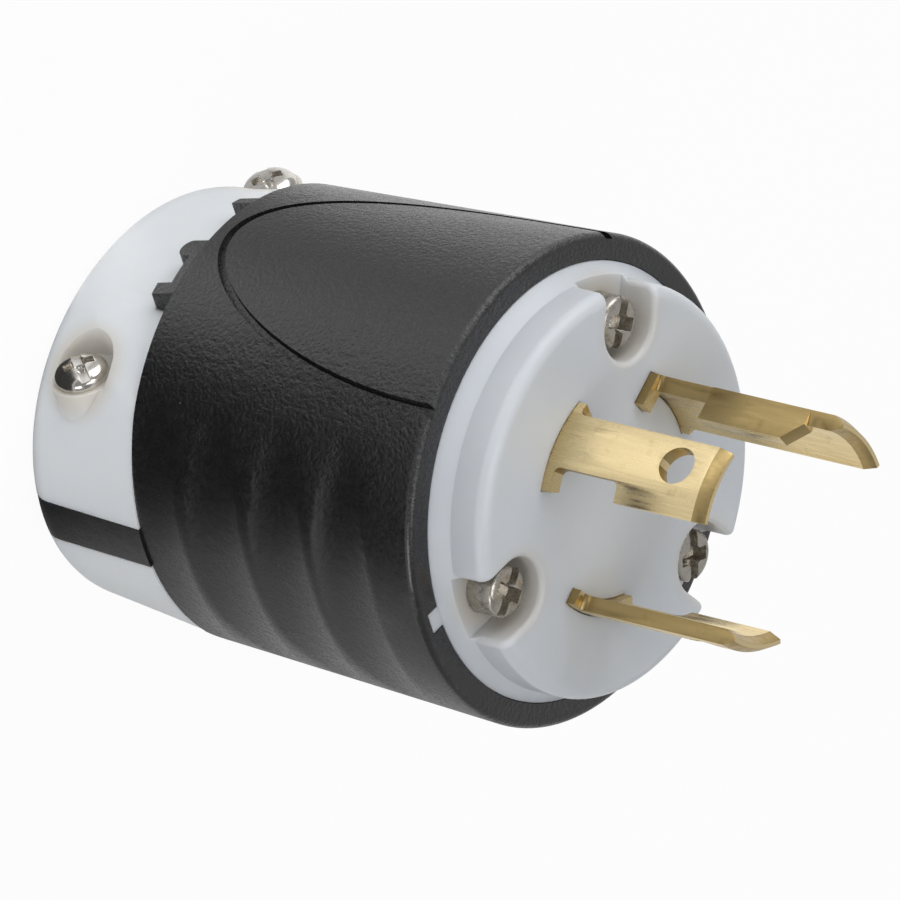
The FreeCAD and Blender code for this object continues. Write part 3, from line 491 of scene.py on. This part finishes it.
@dataclass(frozen=True)
class BlackNylon(Paint):
    """Black moulded nylon: a pebbled grain, finer around the finger grips, with specks of dust."""

    colour: tuple[float, float, float] = (0.0065, 0.0065, 0.007)
    paler: tuple[float, float, float] = (0.010, 0.010, 0.011)
    dust: tuple[float, float, float] = (0.5, 0.5, 0.5)
    dust_scale: float = 0.22
    dust_radii: tuple[float, float] = (0.012, 0.022)
    roughness: float = 0.26
    grain: float = 2.3
    grain_height: float = 0.17
    ripple: float = 0.9
    ripple_height: float = 0.05
    grips_end: float = math.radians(38.0)
    grips_fade: tuple[float, float] = (-0.3, 0.15)
    grips_grain: float = 0.1
    specular: float = 0.8

    def make(self) -> bpy.types.Material:
        """Builds the material.

        Returns:
            The finished material.
        """
        material, tree, shader = self.start()
        place = self.place(tree)
        pebbles = self.noise(tree, place, self.grain, 3.0, 0.6)
        ripple = self.noise(tree, place, self.ripple, 1.0)
        specks = self.add(tree, "ShaderNodeTexVoronoi", Vector=place, Scale=self.dust_scale)
        dust = self.ramp(tree, specks.outputs["Distance"], *self.dust_radii, 1.0, 0.0)
        base = self.blend(tree, self.ramp(tree, ripple, 0.3, 0.75), self.colour, self.paler)
        tree.links.new(self.blend(tree, dust, base, self.dust), shader.inputs["Base Color"])
        rough = self.ramp(tree, pebbles, 0.3, 0.7, self.roughness - 0.05, self.roughness + 0.09)
        tree.links.new(rough, shader.inputs["Roughness"])
        low = self.bump(tree, ripple, self.ripple_height, 0.6)
        split = self.add(tree, "ShaderNodeSeparateXYZ", Vector=place)
        aside = self.calculate(tree, "ABSOLUTE", split.outputs["X"])
        ahead = self.calculate(tree, "ABSOLUTE", split.outputs["Y"])
        angle = self.calculate(tree, "ARCTAN2", ahead, aside)
        start, end = (self.grips_end + fade for fade in self.grips_fade)
        coarse = self.ramp(tree, angle, start, end, self.grips_grain, 1.0)
        height = self.calculate(tree, "MULTIPLY", pebbles, coarse)
        tree.links.new(self.bump(tree, height, self.grain_height, 1.0, low), shader.inputs["Normal"])
        shader.inputs["Specular IOR Level"].default_value = self.specular
        return material


@dataclass(frozen=True)
class WhiteNylon(Paint):
    """Milky nylon that lets some light through, with painted shade, darker and warmer, around its screws."""

    colour: tuple[float, float, float] = (0.80, 0.83, 0.86)
    warm_shade: tuple[float, float, float] = (0.66, 0.58, 0.46)
    screws: tuple[tuple[float, float, float], ...] = ()
    shade_radii: tuple[float, float] = (2.8, 6.4)
    shade_share: float = 0.65
    lift: float = 1.04
    roughness: float = 0.34
    grain_height: float = 0.012
    scatter: float = 0.75
    scatter_radii: tuple[float, float, float] = (1.0, 0.92, 0.8)
    depth: float = 1.6

    def make(self) -> bpy.types.Material:
        """Builds the material.

        Returns:
            The finished material.
        """
        material, tree, shader = self.start()
        place = self.place(tree)
        clouds = self.noise(tree, place, 0.09, 2.0)
        paler = tuple(self.lift * part for part in self.colour)
        tone = self.blend(tree, self.ramp(tree, clouds, 0.3, 0.7), self.colour, paler)
        # Painted shade: the nylon turns darker and warmer towards each screw.
        for screw in self.screws:
            gap = self.measure(tree, "DISTANCE", place, screw)
            share = self.ramp(tree, gap, *self.shade_radii, self.shade_share, 0.0)
            tone = self.blend(tree, share, tone, self.warm_shade)
        tree.links.new(tone, shader.inputs["Base Color"])
        fine = self.noise(tree, place, 1.4, 2.0)
        rough = self.ramp(tree, fine, 0.3, 0.7, self.roughness - 0.04, self.roughness + 0.06)
        tree.links.new(rough, shader.inputs["Roughness"])
        tree.links.new(self.bump(tree, fine, self.grain_height, 0.5), shader.inputs["Normal"])
        shader.inputs["Subsurface Weight"].default_value = self.scatter
        shader.inputs["Subsurface Radius"].default_value = self.scatter_radii
        shader.inputs["Subsurface Scale"].default_value = self.depth * MM
        shader.inputs["Specular IOR Level"].default_value = 0.5
        return material


@dataclass(frozen=True)
class Brass(Paint):
    """Stamped brass with scratches along the blade, small pits, stains, and painted shade that darkens its
    root.
    """

    colour: tuple[float, float, float] = (0.88, 0.71, 0.40)
    stain_and_shade: tuple[float, float, float] = (0.48, 0.36, 0.16)
    roughness: float = 0.27
    streaks: tuple[float, float, float] = (2.4, 2.4, 0.18)
    # Levels over which the painted shade at the root fades out, in millimetres
    root: tuple[float, float] = (FACE + 0.2, FACE + 3.4)
    root_shade_share: float = 0.6
    stain_share: float = 0.5
    relief: float = 0.02

    def make(self) -> bpy.types.Material:
        """Builds the material.

        Returns:
            The finished material.
        """
        material, tree, shader = self.start()
        shader.inputs["Metallic"].default_value = 1.0
        place = self.place(tree)
        streaks = self.noise(tree, self.place(tree, self.streaks), 1.0, 3.0, 0.6)
        stains = self.noise(tree, place, 0.35, 3.0, 0.6)
        split = self.add(tree, "ShaderNodeSeparateXYZ", Vector=place)
        # Painted shade: the brass is darker at its root, next to the face; the darker colour also serves the
        # stains.
        root = self.ramp(tree, split.outputs["Z"], *self.root, self.root_shade_share, 0.0)
        mottle = self.ramp(tree, stains, 0.55, 0.78, 0.0, self.stain_share)
        share = self.calculate(tree, "MAXIMUM", root, mottle)
        tree.links.new(self.blend(tree, share, self.colour, self.stain_and_shade), shader.inputs["Base Color"])
        rough = self.ramp(tree, streaks, 0.3, 0.7, self.roughness - 0.07, self.roughness + 0.12)
        tree.links.new(rough, shader.inputs["Roughness"])
        pits = self.noise(tree, place, 2.2, 3.0, 0.65)
        low = self.bump(tree, streaks, self.relief, 0.5)
        tree.links.new(self.bump(tree, pits, self.relief, 0.45, low), shader.inputs["Normal"])
        return material


@dataclass(frozen=True)
class PlatedSteel(Paint):
    """Nickel plating, bright on the clamp screws and pearly on the face screws."""

    colour: tuple[float, float, float]
    roughness: float
    darkening: float = 0.72
    relief: float = 0.012

    def make(self) -> bpy.types.Material:
        """Builds the material.

        Returns:
            The finished material.
        """
        material, tree, shader = self.start()
        shader.inputs["Metallic"].default_value = 1.0
        place = self.place(tree)
        mottle = self.noise(tree, place, 1.1, 3.0, 0.6)
        darker = tuple(part * self.darkening for part in self.colour)
        share = self.ramp(tree, mottle, 0.45, 0.75)
        tree.links.new(self.blend(tree, share, self.colour, darker), shader.inputs["Base Color"])
        fine = self.noise(tree, place, 4.0, 2.0)
        rough = self.ramp(tree, fine, 0.3, 0.7, self.roughness * 0.75, self.roughness * 1.3)
        tree.links.new(rough, shader.inputs["Roughness"])
        tree.links.new(self.bump(tree, fine, self.relief, 0.4), shader.inputs["Normal"])
        return material


@dataclass(frozen=True)
class SealRubber(Paint):
    """Matte black rubber."""

    colour: tuple[float, float, float] = (0.03, 0.03, 0.03)
    paler: tuple[float, float, float] = (0.05, 0.05, 0.05)
    relief: float = 0.02

    def make(self) -> bpy.types.Material:
        """Builds the material.

        Returns:
            The finished material.
        """
        material, tree, shader = self.start()
        fine = self.noise(tree, self.place(tree), 3.0, 2.0)
        tree.links.new(self.blend(tree, fine, self.colour, self.paler), shader.inputs["Base Color"])
        tree.links.new(self.ramp(tree, fine, 0.2, 0.8, 0.6, 0.8), shader.inputs["Roughness"])
        tree.links.new(self.bump(tree, fine, self.relief, 0.5), shader.inputs["Normal"])
        return material


@dataclass
class Finishes:
    """Every material of the plug, made once."""

    black: bpy.types.Material = field(init=False)
    white: bpy.types.Material = field(init=False)
    face: bpy.types.Material = field(init=False)
    brass: bpy.types.Material = field(init=False)
    sheared: bpy.types.Material = field(init=False)
    bright: bpy.types.Material = field(init=False)
    pearly: bpy.types.Material = field(init=False)
    rubber: bpy.types.Material = field(init=False)

    def __post_init__(self) -> None:
        """Makes the materials."""
        self.black = BlackNylon("black_nylon_grained").make()
        self.white = WhiteNylon("white_nylon_milky", screws=CLAMP_SCREW_HEADS).make()
        # The face is the same white nylon painted darker: painted shade.
        self.face = WhiteNylon(
            "white_nylon_face_painted_shade", colour=(0.62, 0.65, 0.69), warm_shade=(0.52, 0.45, 0.34), screws=FACE_SCREW_HEADS
        ).make()
        self.brass = Brass("blade_brass_stamped").make()
        self.sheared = Brass(
            "blade_brass_sheared", colour=(0.46, 0.34, 0.15), stain_and_shade=(0.16, 0.11, 0.04), roughness=0.34
        ).make()
        self.bright = PlatedSteel("nickel_bright", colour=(0.72, 0.69, 0.65), roughness=0.16).make()
        self.pearly = PlatedSteel("nickel_pearly", colour=(0.52, 0.49, 0.44), roughness=0.3).make()
        self.rubber = SealRubber("seal_rubber_matte").make()


@dataclass
class Dressing:
    """Dresses a CAD node with a finish, or makes a softened copy that stands for it."""

    finishes: Finishes

    def keep(self, node: str, finish: bpy.types.Material) -> None:
        """Gives a CAD node a finish and keeps its mesh.

        Args:
            node: the CAD node's name.
            finish: its material.
        """
        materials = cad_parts[node].data.materials
        materials.clear()
        materials.append(finish)
        LOG.info("%s keeps its solid", node)

    def replace(
        self, piece: bpy.types.Object, node: str, finish: bpy.types.Material, slot: Slot, angle: float = 35.0
    ) -> None:
        """Finishes a new piece and lets it stand for a CAD node.

        Args:
            piece: the new piece.
            node: the CAD node that it stands for.
            finish: its material.
            slot: not used.
            angle: the least angle of an edge that stays sharp.
        """
        smooth(piece, angle)
        piece.data.materials.clear()
        piece.data.materials.append(finish)
        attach(piece, "root")
        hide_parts(node)
        LOG.info("%s stands for %s, %d faces", piece.name, node, len(piece.data.polygons))

    def soft_copy(
        self, node: str, finish: bpy.types.Material, slot: Slot, width: float, segments: int = 2
    ) -> None:
        """Replaces a CAD node by a copy with rounded edges.

        Args:
            node: the CAD node's name.
            finish: its material.
            slot: the record's slot, passed on to replace.
            width: how wide the rounding is, in millimetres.
            segments: how many faces the rounding has across.
        """
        piece = merged_copy(node, node + "_rounded")
        soften(piece, width, segments)
        close_up(piece)
        self.replace(piece, node, finish, slot)


@dataclass
class Blades:
    """The two equal blades and the longer ground blade, stamped from brass and curved to one circle.

    Sweeps and angles are in degrees, and before and after say how far a tail goes past its blade.
    """

    finishes: Finishes
    dressing: Dressing
    outer: float = 12.5
    thickness: float = 1.65
    root: float = 39.8
    shoulder: float = FACE + 1.0
    bevel: float = 1.3
    land: float = 0.45
    rounding: float = 0.13
    corner: float = 0.75
    corner_angle: float = 0.3
    cutter_radii: tuple[float, float] = (8.0, 15.0)
    cutter_face: float = 12.0
    margin: float = 3.0
    hook_level: float = FACE + 9.0
    hole_level: float = FACE + 15.1
    hole_radius: float = 2.0
    hole_depth: float = 8.0
    terminal_level: float = 44.2
    bolt_radius: float = 1.95
    line_starts: tuple[tuple[str, float], ...] = (("hot_blade", -77.5), ("neutral_blade", 32.5))
    line_length: float = 20.2
    line_sweep: float = 27.3
    line_hook: float = 10.2
    line_hook_rise: float = 2.0
    line_hook_rounding: float = 0.7
    line_before: float = 6.5
    line_after: float = 12.2
    ground_start: float = 182.0
    ground_sweep: float = 40.0
    ground_notch: float = 37.0
    ground_notch_sweep: float = 8.0
    ground_before: float = 4.5
    ground_length: float = 24.7
    ground_hook_level: float = FACE + 8.0
    flange_angle: float = 22.7
    flange_length: float = 3.65
    flange_height: float = 12.4
    flange_slope: float = 2.0
    root_flange_length: float = 3.6
    flange_inset: float = 0.03
    wing: float = 2.5

    @property
    def inner(self) -> float:
        """The radius of the blades' inner face."""
        return self.outer - self.thickness

    def away(self, name: str, start: float, sweep: float, low: float, high: float) -> bpy.types.Object:
        """A cutter for a stretch of angle and level, with rounded corners."""
        steps = max(1, round(sweep / self.cutter_face))
        cutter = sector(name, self.cutter_radii, start, sweep, (low, high), steps=steps)
        soften(cutter, self.corner, segments=5, angle=60)
        return cutter

    def wing_cutter(self, name: str, start: float) -> bpy.types.Object:
        """A cutter that narrows a tail to what passes through the face."""
        levels = (FACE_REAR, self.shoulder + 1)
        return sector(name, self.cutter_radii, start, self.wing + self.margin, levels)

    def radial_hole(self, radius: float, angle: float, level: float) -> bpy.types.Object:
        """A cutter for a round hole through a blade, along a radius."""
        pick_nothing()
        turn = math.radians(angle)
        place = (self.outer * math.cos(turn) * MM, self.outer * math.sin(turn) * MM, level * MM)
        depth = self.hole_depth * MM
        bpy.ops.mesh.primitive_cylinder_add(
            vertices=64, radius=radius * MM, depth=depth, location=place, rotation=(0, math.pi / 2, turn)
        )
        return settle(bpy.context.object)

    def body(self, name: str, start: float, sweep: float, length: float) -> bpy.types.Object:
        """The whole band of a blade, from its root to its bevelled tip, with a face to each degree."""
        levels = (self.root, FACE + length - self.bevel)
        tip = (self.bevel, self.land)
        return sector(name, (self.inner, self.outer), start, sweep, levels, tip, round(sweep))

    def line_blade(self, name: str, start: float) -> None:
        """Makes one of the two equal blades.

        Args:
            name: the CAD node that it stands for.
            start: the angle at which its main part starts.
        """
        before = self.line_before + self.wing
        after = self.line_after + self.wing
        end = start + self.line_sweep
        hook_end = end + self.line_hook
        first = start - before - self.margin
        over = FACE + self.line_length + self.margin
        past = after + self.margin
        bolt_angle = (start + end + self.line_after - self.line_before) / 2
        whole = before + self.line_sweep + after
        rise = self.shoulder + self.line_hook_rise
        piece = self.body(name + "_stamped", start - before, whole, self.line_length)
        carve(
            piece,
            self.away("beside", first, before + self.margin, self.shoulder, over),
            self.away("under_hook", end, past, self.shoulder, self.hook_level),
            self.away("past_hook", hook_end, past - self.line_hook, rise, over),
            self.wing_cutter("wing_low", first),
            self.wing_cutter("wing_high", end + self.line_after),
            self.radial_hole(self.hole_radius, start + self.line_sweep / 2, self.hole_level),
            self.radial_hole(self.bolt_radius, bolt_angle, self.terminal_level),
        )

        def at_hook_end(point: Vector) -> bool:
            """Whether a point is on the lower corner of the hook's end."""
            aside = abs(angle_of(point) - hook_end % 360)
            return abs(point.z - self.hook_level) < self.corner and aside < self.corner_angle

        round_edges(piece, at_hook_end, self.line_hook_rounding, segments=4)
        self.finish(piece, name)

    def ground_blade(self) -> None:
        """Makes the longer blade, whose hook is a flange turned inwards."""
        start, sweep, hook = self.ground_start, self.ground_sweep, self.ground_hook_level
        before = self.ground_before + self.wing
        first = start - before - self.margin
        over = FACE + self.ground_length + self.margin
        notch = start + self.ground_notch
        bolt_angle = (start - self.ground_before + start + sweep) / 2
        piece = self.body("ground_blade_stamped", start - before, before + sweep, self.ground_length)
        carve(
            piece,
            self.away("beside", first, before + self.margin, self.shoulder, over),
            self.wing_cutter("wing_low", first),
            self.away("under_hook", notch, self.ground_notch_sweep, self.shoulder, hook),
            self.radial_hole(self.bolt_radius, bolt_angle, self.terminal_level),
        )
        join(
            piece,
            self.flange(self.root_flange_length, FACE_REAR, self.shoulder, 0.0),
            self.flange(self.flange_length, hook, hook + self.flange_height, self.flange_slope),
        )
        self.finish(piece, "ground_blade")

    def flange(self, length: float, low: float, high: float, slope: float) -> bpy.types.Object:
        """A flat flange that runs inwards from the far edge of the ground blade.

        Args:
            length: how far it runs inwards.
            low: its lower level.
            high: its upper level.
            slope: how far its top slopes down towards its free edge.

        Returns:
            The flange, as a closed solid.
        """
        corner = math.radians(self.ground_start + self.ground_sweep)
        turn = math.radians(self.flange_angle)
        along = Vector((math.cos(turn), math.sin(turn), 0))
        across = Vector((-along.y, along.x, 0))
        # The flange starts a little inside the corner, so that no edge of it lies on an edge of the band
        reach = self.outer - self.flange_inset
        start = Vector((reach * math.cos(corner), reach * math.sin(corner), (low + high) / 2))
        middle = start + along * (length / 2) + across * (self.thickness / 2)
        piece = block("flange", (length, self.thickness, high - low), middle, self.flange_angle)
        if slope:
            free = start + along * length

            def at_free_top(point: Vector) -> bool:
                """Whether a point is on the top edge of the free end."""
                return point.z > high - NEAR and abs((point - free).dot(along)) < NEAR

            round_edges(piece, at_free_top, slope, segments=1)
        return piece

    def finish(self, piece: bpy.types.Object, node: str) -> None:
        """Rounds the stamped edges, and gives the sheared sides their own finish."""
        close_up(piece, CUT_SEAM)
        soften(piece, self.rounding, angle=25)
        close_up(piece)
        self.dressing.replace(piece, node, self.finishes.brass, Slot.BLADE_BRASS)
        piece.data.materials.append(self.finishes.sheared)
        for face in piece.data.polygons:
            out = Vector((face.center.x, face.center.y, 0)).normalized()
            across = abs(face.normal.dot(out)) < 0.5 and abs(face.normal.z) < 0.5
            sloping = 0.15 < face.normal.z < 0.98
            if across or sloping:
                face.material_index = 1

    def build(self) -> None:
        """Makes all three blades."""
        for name, start in self.line_starts:
            self.line_blade(name, start)
        self.ground_blade()


@dataclass
class DriveScrew:
    """A screw whose head takes a blade or a cross driver.

    flat says how many times wider than high the rounding of the head's rim is.
    """

    name: str
    head_radius: float
    head_height: float
    dome: float
    shank_radius: float
    length: float
    slot_width: float = 1.2
    slot_depth: float = 1.1
    cross_reach: float = 1.9
    cross_width: float = 1.4
    cross_depth: float = 1.7
    well_radius: float = 1.0
    flat: float = 1.6
    dome_steps: int = 7
    tip_length: float = 1.2
    tip_share: float = 0.55
    crown_radius: float = 0.3
    rounding: float = 0.09

    def head_profile(self) -> list[tuple[float, float]]:
        """The corners of the shank and of the domed head, from the tip to the crown."""
        corners = [
            (self.shank_radius * self.tip_share, -self.length),
            (self.shank_radius, -self.length + self.tip_length),
            (self.shank_radius, 0.0),
            (self.head_radius, 0.0),
        ]
        side = self.head_height - self.dome
        for step in range(self.dome_steps):
            share = step / self.dome_steps * math.pi / 2
            rim = self.dome * self.flat
            radius = self.head_radius - rim * (1 - math.cos(share))
            corners.append((radius, side + self.dome * math.sin(share)))
        corners.append((self.crown_radius, self.head_height))
        return corners

    def recess(self) -> list[bpy.types.Object]:
        """The solids that the driver's slot and cross take out of the head."""
        top = self.head_height
        slot_size = (self.head_radius * 3, self.slot_width, self.slot_depth * 2)
        slot = block("slot", slot_size, (0, 0, top))
        cross = block("cross", (self.cross_width, self.cross_reach * 2, self.cross_depth * 2), (0, 0, top))
        profile = [
            (self.crown_radius, top - self.cross_depth * 1.3),
            (self.well_radius, top - self.slot_depth),
            (self.well_radius + 0.25, top + 1),
        ]
        return [slot, cross, turned("well", profile, sides=24)]

    def build(self) -> bpy.types.Object:
        """Makes the screw with its seat at the origin and its head towards +Z.

        Returns:
            The piece.
        """
        piece = turned(self.name, self.head_profile())
        carve(piece, *self.recess())
        soften(piece, self.rounding, angle=35)
        return piece


@dataclass
class Screws:
    """The face screws in their notches and the clamp screws on the upper jaw."""

    finishes: Finishes
    dressing: Dressing
    circle: float = 17.1
    clamp_offset: float = 16.1
    clamp_height: float = 7.2
    clamp_seat: float = 14.5
    face_angles: tuple[tuple[float, float], ...] = ((0.0, 37.7), (120.0, 68.6), (240.0, 49.6))
    clamp_slot_angle: float = 52.0

    def build(self) -> None:
        """Makes each kind once, and copies it to its places."""
        face = DriveScrew(
            "face_screw_domed", head_radius=2.7, head_height=3.3, dome=0.5, shank_radius=1.75, length=15.0
        ).build()
        for number, (angle, slot_angle) in enumerate(self.face_angles, start=1):
            turn = math.radians(angle)
            place = (self.circle * math.cos(turn), self.circle * math.sin(turn), NOTCH_FLOOR)
            slot_turn = Matrix.Rotation(math.radians(slot_angle), 4, "Z")
            self.set_down(face, f"face_screw_{number}", place, slot_turn, self.finishes.pearly)
        clamp = DriveScrew(
            "clamp_screw_domed",
            head_radius=2.8,
            head_height=1.9,
            dome=1.35,
            shank_radius=1.6,
            length=23.5,
            slot_width=1.0,
            slot_depth=0.9,
            cross_reach=1.6,
            cross_width=1.1,
            cross_depth=1.3,
            well_radius=0.8,
            flat=1.9,
        ).build()
        slot_turn = Matrix.Rotation(math.radians(self.clamp_slot_angle), 4, "Z")
        turn_out = Matrix.Rotation(math.pi / 2, 4, "X") @ slot_turn
        for number, way in ((1, 1), (2, -1)):
            place = (way * self.clamp_offset, -self.clamp_seat, self.clamp_height)
            self.set_down(clamp, f"clamp_screw_{number}", place, turn_out, self.finishes.bright)
        for pattern in (face, clamp):
            bpy.data.objects.remove(pattern)

    def set_down(
        self,
        pattern: bpy.types.Object,
        node: str,
        place: Sequence[float],
        turn: Matrix,
        finish: bpy.types.Material,
    ) -> None:
        """Copies a screw with a mesh of its own to its place.

        Args:
            pattern: the screw that is copied.
            node: the CAD node that the copy stands for.
            place: its seat, in millimetres.
            turn: how it is turned.
            finish: its material.
        """
        piece = pattern.copy()
        piece.data = pattern.data.copy()
        piece.name = node + "_domed"
        bpy.context.scene.collection.objects.link(piece)
        piece.matrix_world = Matrix.Translation(Vector(place) * MM) @ turn
        settle(piece)
        self.dressing.replace(piece, node, finish, Slot.PLATED_STEEL)


@dataclass(frozen=True)
class Lamp:
    """A soft square lamp that looks at the middle of the plug, with its distance and size in metres."""

    name: str
    towards: tuple[float, float, float]
    distance: float
    size: float
    watts: float

    def hang(self) -> None:
        """Adds the lamp to the scene."""
        data = bpy.data.lights.new(self.name, "AREA")
        data.energy = self.watts
        data.size = self.size
        lamp = bpy.data.objects.new(self.name, data)
        bpy.context.scene.collection.objects.link(lamp)
        middle = Vector((0, 0, LIT_LEVEL * MM))
        lamp.location = middle + Vector(self.towards).normalized() * self.distance
        lamp.rotation_euler = (middle - lamp.location).to_track_quat("-Z", "Y").to_euler()


@dataclass
class Studio:
    """The floor, the light and the camera.

    The floor and the room are white to the camera. In reflections, the floor is dark close to the plug on
    the camera's side, which is painted shade, and it glows in the directions of glows: each is an angle
    about Z, and the cosines at which its glow starts and is full.
    """

    camera_at: tuple[float, float, float] = (997.1, -997.5, 1118.1)
    right: tuple[float, float, float] = (-0.58231, 0.25405, 0.77225)
    forward: tuple[float, float, float] = (-0.56140, 0.56140, -0.60800)
    lens: float = 707.0
    lamps: tuple[Lamp, ...] = (
        Lamp("label_softbox", (-0.55, -0.8, 0.42), distance=0.9, size=0.7, watts=3.5),
        Lamp("strip_softbox", (0.12, -0.98, 0.16), distance=0.5, size=0.3, watts=0.34),
        Lamp("end_softbox", (0.35, -0.25, 1.0), distance=1.0, size=0.6, watts=2.5),
        Lamp("grip_softbox", (1.0, 0.1, 0.3), distance=1.0, size=0.4, watts=1.6),
    )
    fill: float = 0.34
    behind: tuple[float, float, float] = (-0.7071, 0.7071, 0.0)
    room_fade: tuple[float, float] = (-0.8, 0.7)
    front_of_room: float = 0.3
    back_of_room: float = 0.5
    floor_size: float = 6.0
    floor_share: float = 0.95
    near_floor: float = 0.05
    ring: tuple[float, float] = (0.098, 0.126)
    ring_glow: float = 0.75
    dark_angle: float = -30.0
    dark_fade: tuple[float, float] = (0.5, 0.97)
    side_glow: float = 0.52
    glows: tuple[tuple[float, float, float], ...] = ((-175.0, 0.62, 0.98), (-82.0, 0.91, 0.985))

    def add_camera(self) -> None:
        """Puts the camera where the photograph was taken from."""
        data = bpy.data.cameras.new("camera")
        data.lens = self.lens
        data.sensor_width = 36.0
        data.sensor_fit = "HORIZONTAL"
        data.clip_start = 0.01
        data.clip_end = 50.0
        camera = bpy.data.objects.new("camera", data)
        bpy.context.scene.collection.objects.link(camera)
        right = Vector(self.right).normalized()
        back = -Vector(self.forward).normalized()
        up = back.cross(right).normalized()
        turn = Matrix((right, up, back)).transposed()
        camera.matrix_world = Matrix.Translation(Vector(self.camera_at) * MM) @ turn.to_4x4()
        bpy.context.scene.camera = camera

    def seen_by(self, tree: bpy.types.ShaderNodeTree) -> tuple[bpy.types.NodeSocket, bpy.types.NodeSocket]:
        """What kind of ray meets a backdrop.

        Args:
            tree: the backdrop's node tree.

        Returns:
            Whether it is a camera ray, and whether it is a reflected or a refracted one.
        """
        rays = tree.nodes.new("ShaderNodeLightPath").outputs
        bent = Paint.calculate(tree, "MAXIMUM", rays["Is Glossy Ray"], rays["Is Transmission Ray"])
        return rays["Is Camera Ray"], bent

    def facing(
        self, tree: bpy.types.ShaderNodeTree, place: bpy.types.NodeSocket, angle: float
    ) -> bpy.types.NodeSocket:
        """The cosine between the way to a place and a direction about Z, in degrees."""
        unit = tree.nodes.new("ShaderNodeVectorMath")
        unit.operation = "NORMALIZE"
        tree.links.new(place, unit.inputs[0])
        turn = math.radians(angle)
        direction = (math.cos(turn), math.sin(turn), 0.0)
        return Paint.measure(tree, "DOT_PRODUCT", unit.outputs["Vector"], direction)

    def reflected_floor(
        self, tree: bpy.types.ShaderNodeTree, place: bpy.types.NodeSocket
    ) -> bpy.types.NodeSocket:
        """How bright a place on the floor is in reflections."""
        ahead = self.facing(tree, place, self.dark_angle)
        glow = Paint.ramp(tree, ahead, *self.dark_fade, self.side_glow, self.near_floor)
        for angle, low, high in self.glows:
            lobe = Paint.ramp(tree, self.facing(tree, place, angle), low, high)
            glow = Paint.calculate(tree, "MAXIMUM", glow, lobe)
        # Painted shade: in reflections the floor stays dark inside the ring round the plug.
        distance = Paint.measure(tree, "LENGTH", place)
        far = Paint.ramp(tree, distance, *self.ring, self.near_floor, self.ring_glow)
        return Paint.calculate(tree, "MAXIMUM", glow, far)

    def add_world(self) -> None:
        """Shows a white room, whose end behind the plug is brighter than its front."""
        world = bpy.data.worlds.new("room")
        bpy.context.scene.world = world
        world.use_nodes = True
        tree = world.node_tree
        shader = tree.nodes["Background"]
        shader.inputs["Color"].default_value = (1, 1, 1, 1)
        camera, bent = self.seen_by(tree)
        direction = tree.nodes.new("ShaderNodeTexCoord").outputs["Generated"]
        back = Paint.measure(tree, "DOT_PRODUCT", direction, self.behind)
        sweep = Paint.ramp(tree, back, *self.room_fade, self.near_floor)
        sweep = Paint.calculate(tree, "MULTIPLY", sweep, self.back_of_room)
        sweep = Paint.calculate(tree, "MAXIMUM", sweep, self.front_of_room)
        fill = Paint.calculate(tree, "MULTIPLY", bent, Paint.calculate(tree, "SUBTRACT", sweep, self.fill))
        fill = Paint.calculate(tree, "ADD", fill, self.fill)
        tree.links.new(Paint.calculate(tree, "MAXIMUM", camera, fill), shader.inputs["Strength"])

    def add_floor(self) -> None:
        """Lays a plain pale floor under the plug; it shows white, and keeps a little of the shadow."""
        pick_nothing()
        bpy.ops.mesh.primitive_plane_add(size=self.floor_size, location=(0, 0, 0))
        floor = bpy.context.object
        floor.name = "floor"
        material = bpy.data.materials.new("floor_white")
        material.use_nodes = True
        tree = material.node_tree
        shader = tree.nodes["Principled BSDF"]
        shader.inputs["Base Color"].default_value = (0.8, 0.8, 0.8, 1)
        shader.inputs["Roughness"].default_value = 0.9
        shader.inputs["Specular IOR Level"].default_value = 0.0
        camera, bent = self.seen_by(tree)
        place = tree.nodes.new("ShaderNodeTexCoord").outputs["Object"]
        strength = Paint.calculate(tree, "MAXIMUM", camera, self.reflected_floor(tree, place))
        glow = Paint.add(tree, "ShaderNodeEmission", Strength=strength)
        mix = tree.nodes.new("ShaderNodeMixShader")
        seen = Paint.calculate(tree, "MULTIPLY", camera, self.floor_share)
        share = Paint.calculate(tree, "MAXIMUM", seen, bent)
        tree.links.new(share, mix.inputs[0])
        tree.links.new(shader.outputs[0], mix.inputs[1])
        tree.links.new(glow.outputs[0], mix.inputs[2])
        tree.links.new(mix.outputs[0], tree.nodes["Material Output"].inputs["Surface"])
        floor.data.materials.append(material)

    def build(self) -> None:
        """Sets up the whole studio."""
        self.add_camera()
        for lamp in self.lamps:
            lamp.hang()
        self.add_world()
        self.add_floor()
        bpy.context.scene.view_settings.view_transform = "Standard"


def main() -> None:
    """Builds the plug and the studio."""
    logging.basicConfig(level=logging.INFO, format="%(name)s: %(message)s")
    Studio().build()
    finishes = Finishes()
    dressing = Dressing(finishes)
    dressing.soft_copy("sleeve", finishes.black, Slot.BLACK_NYLON, width=0.16)
    for node in ("upper_jaw", "lower_jaw"):
        dressing.soft_copy(node, finishes.white, Slot.WHITE_NYLON, width=0.3, segments=3)
    dressing.keep("terminal_carrier", finishes.white)
    Blades(finishes, dressing).build()
    # The face takes the darker copy of the white nylon, whose darker colour is painted shade.
    dressing.keep("front_body", finishes.face)
    Screws(finishes, dressing).build()
    for name in ("hot", "neutral", "ground"):
        dressing.keep(f"{name}_terminal_screw", finishes.pearly)
        dressing.keep(f"{name}_wire_clamp", finishes.pearly)
    dressing.keep("cord_seal", finishes.rubber)


if __name__ == "__main__":
    main()
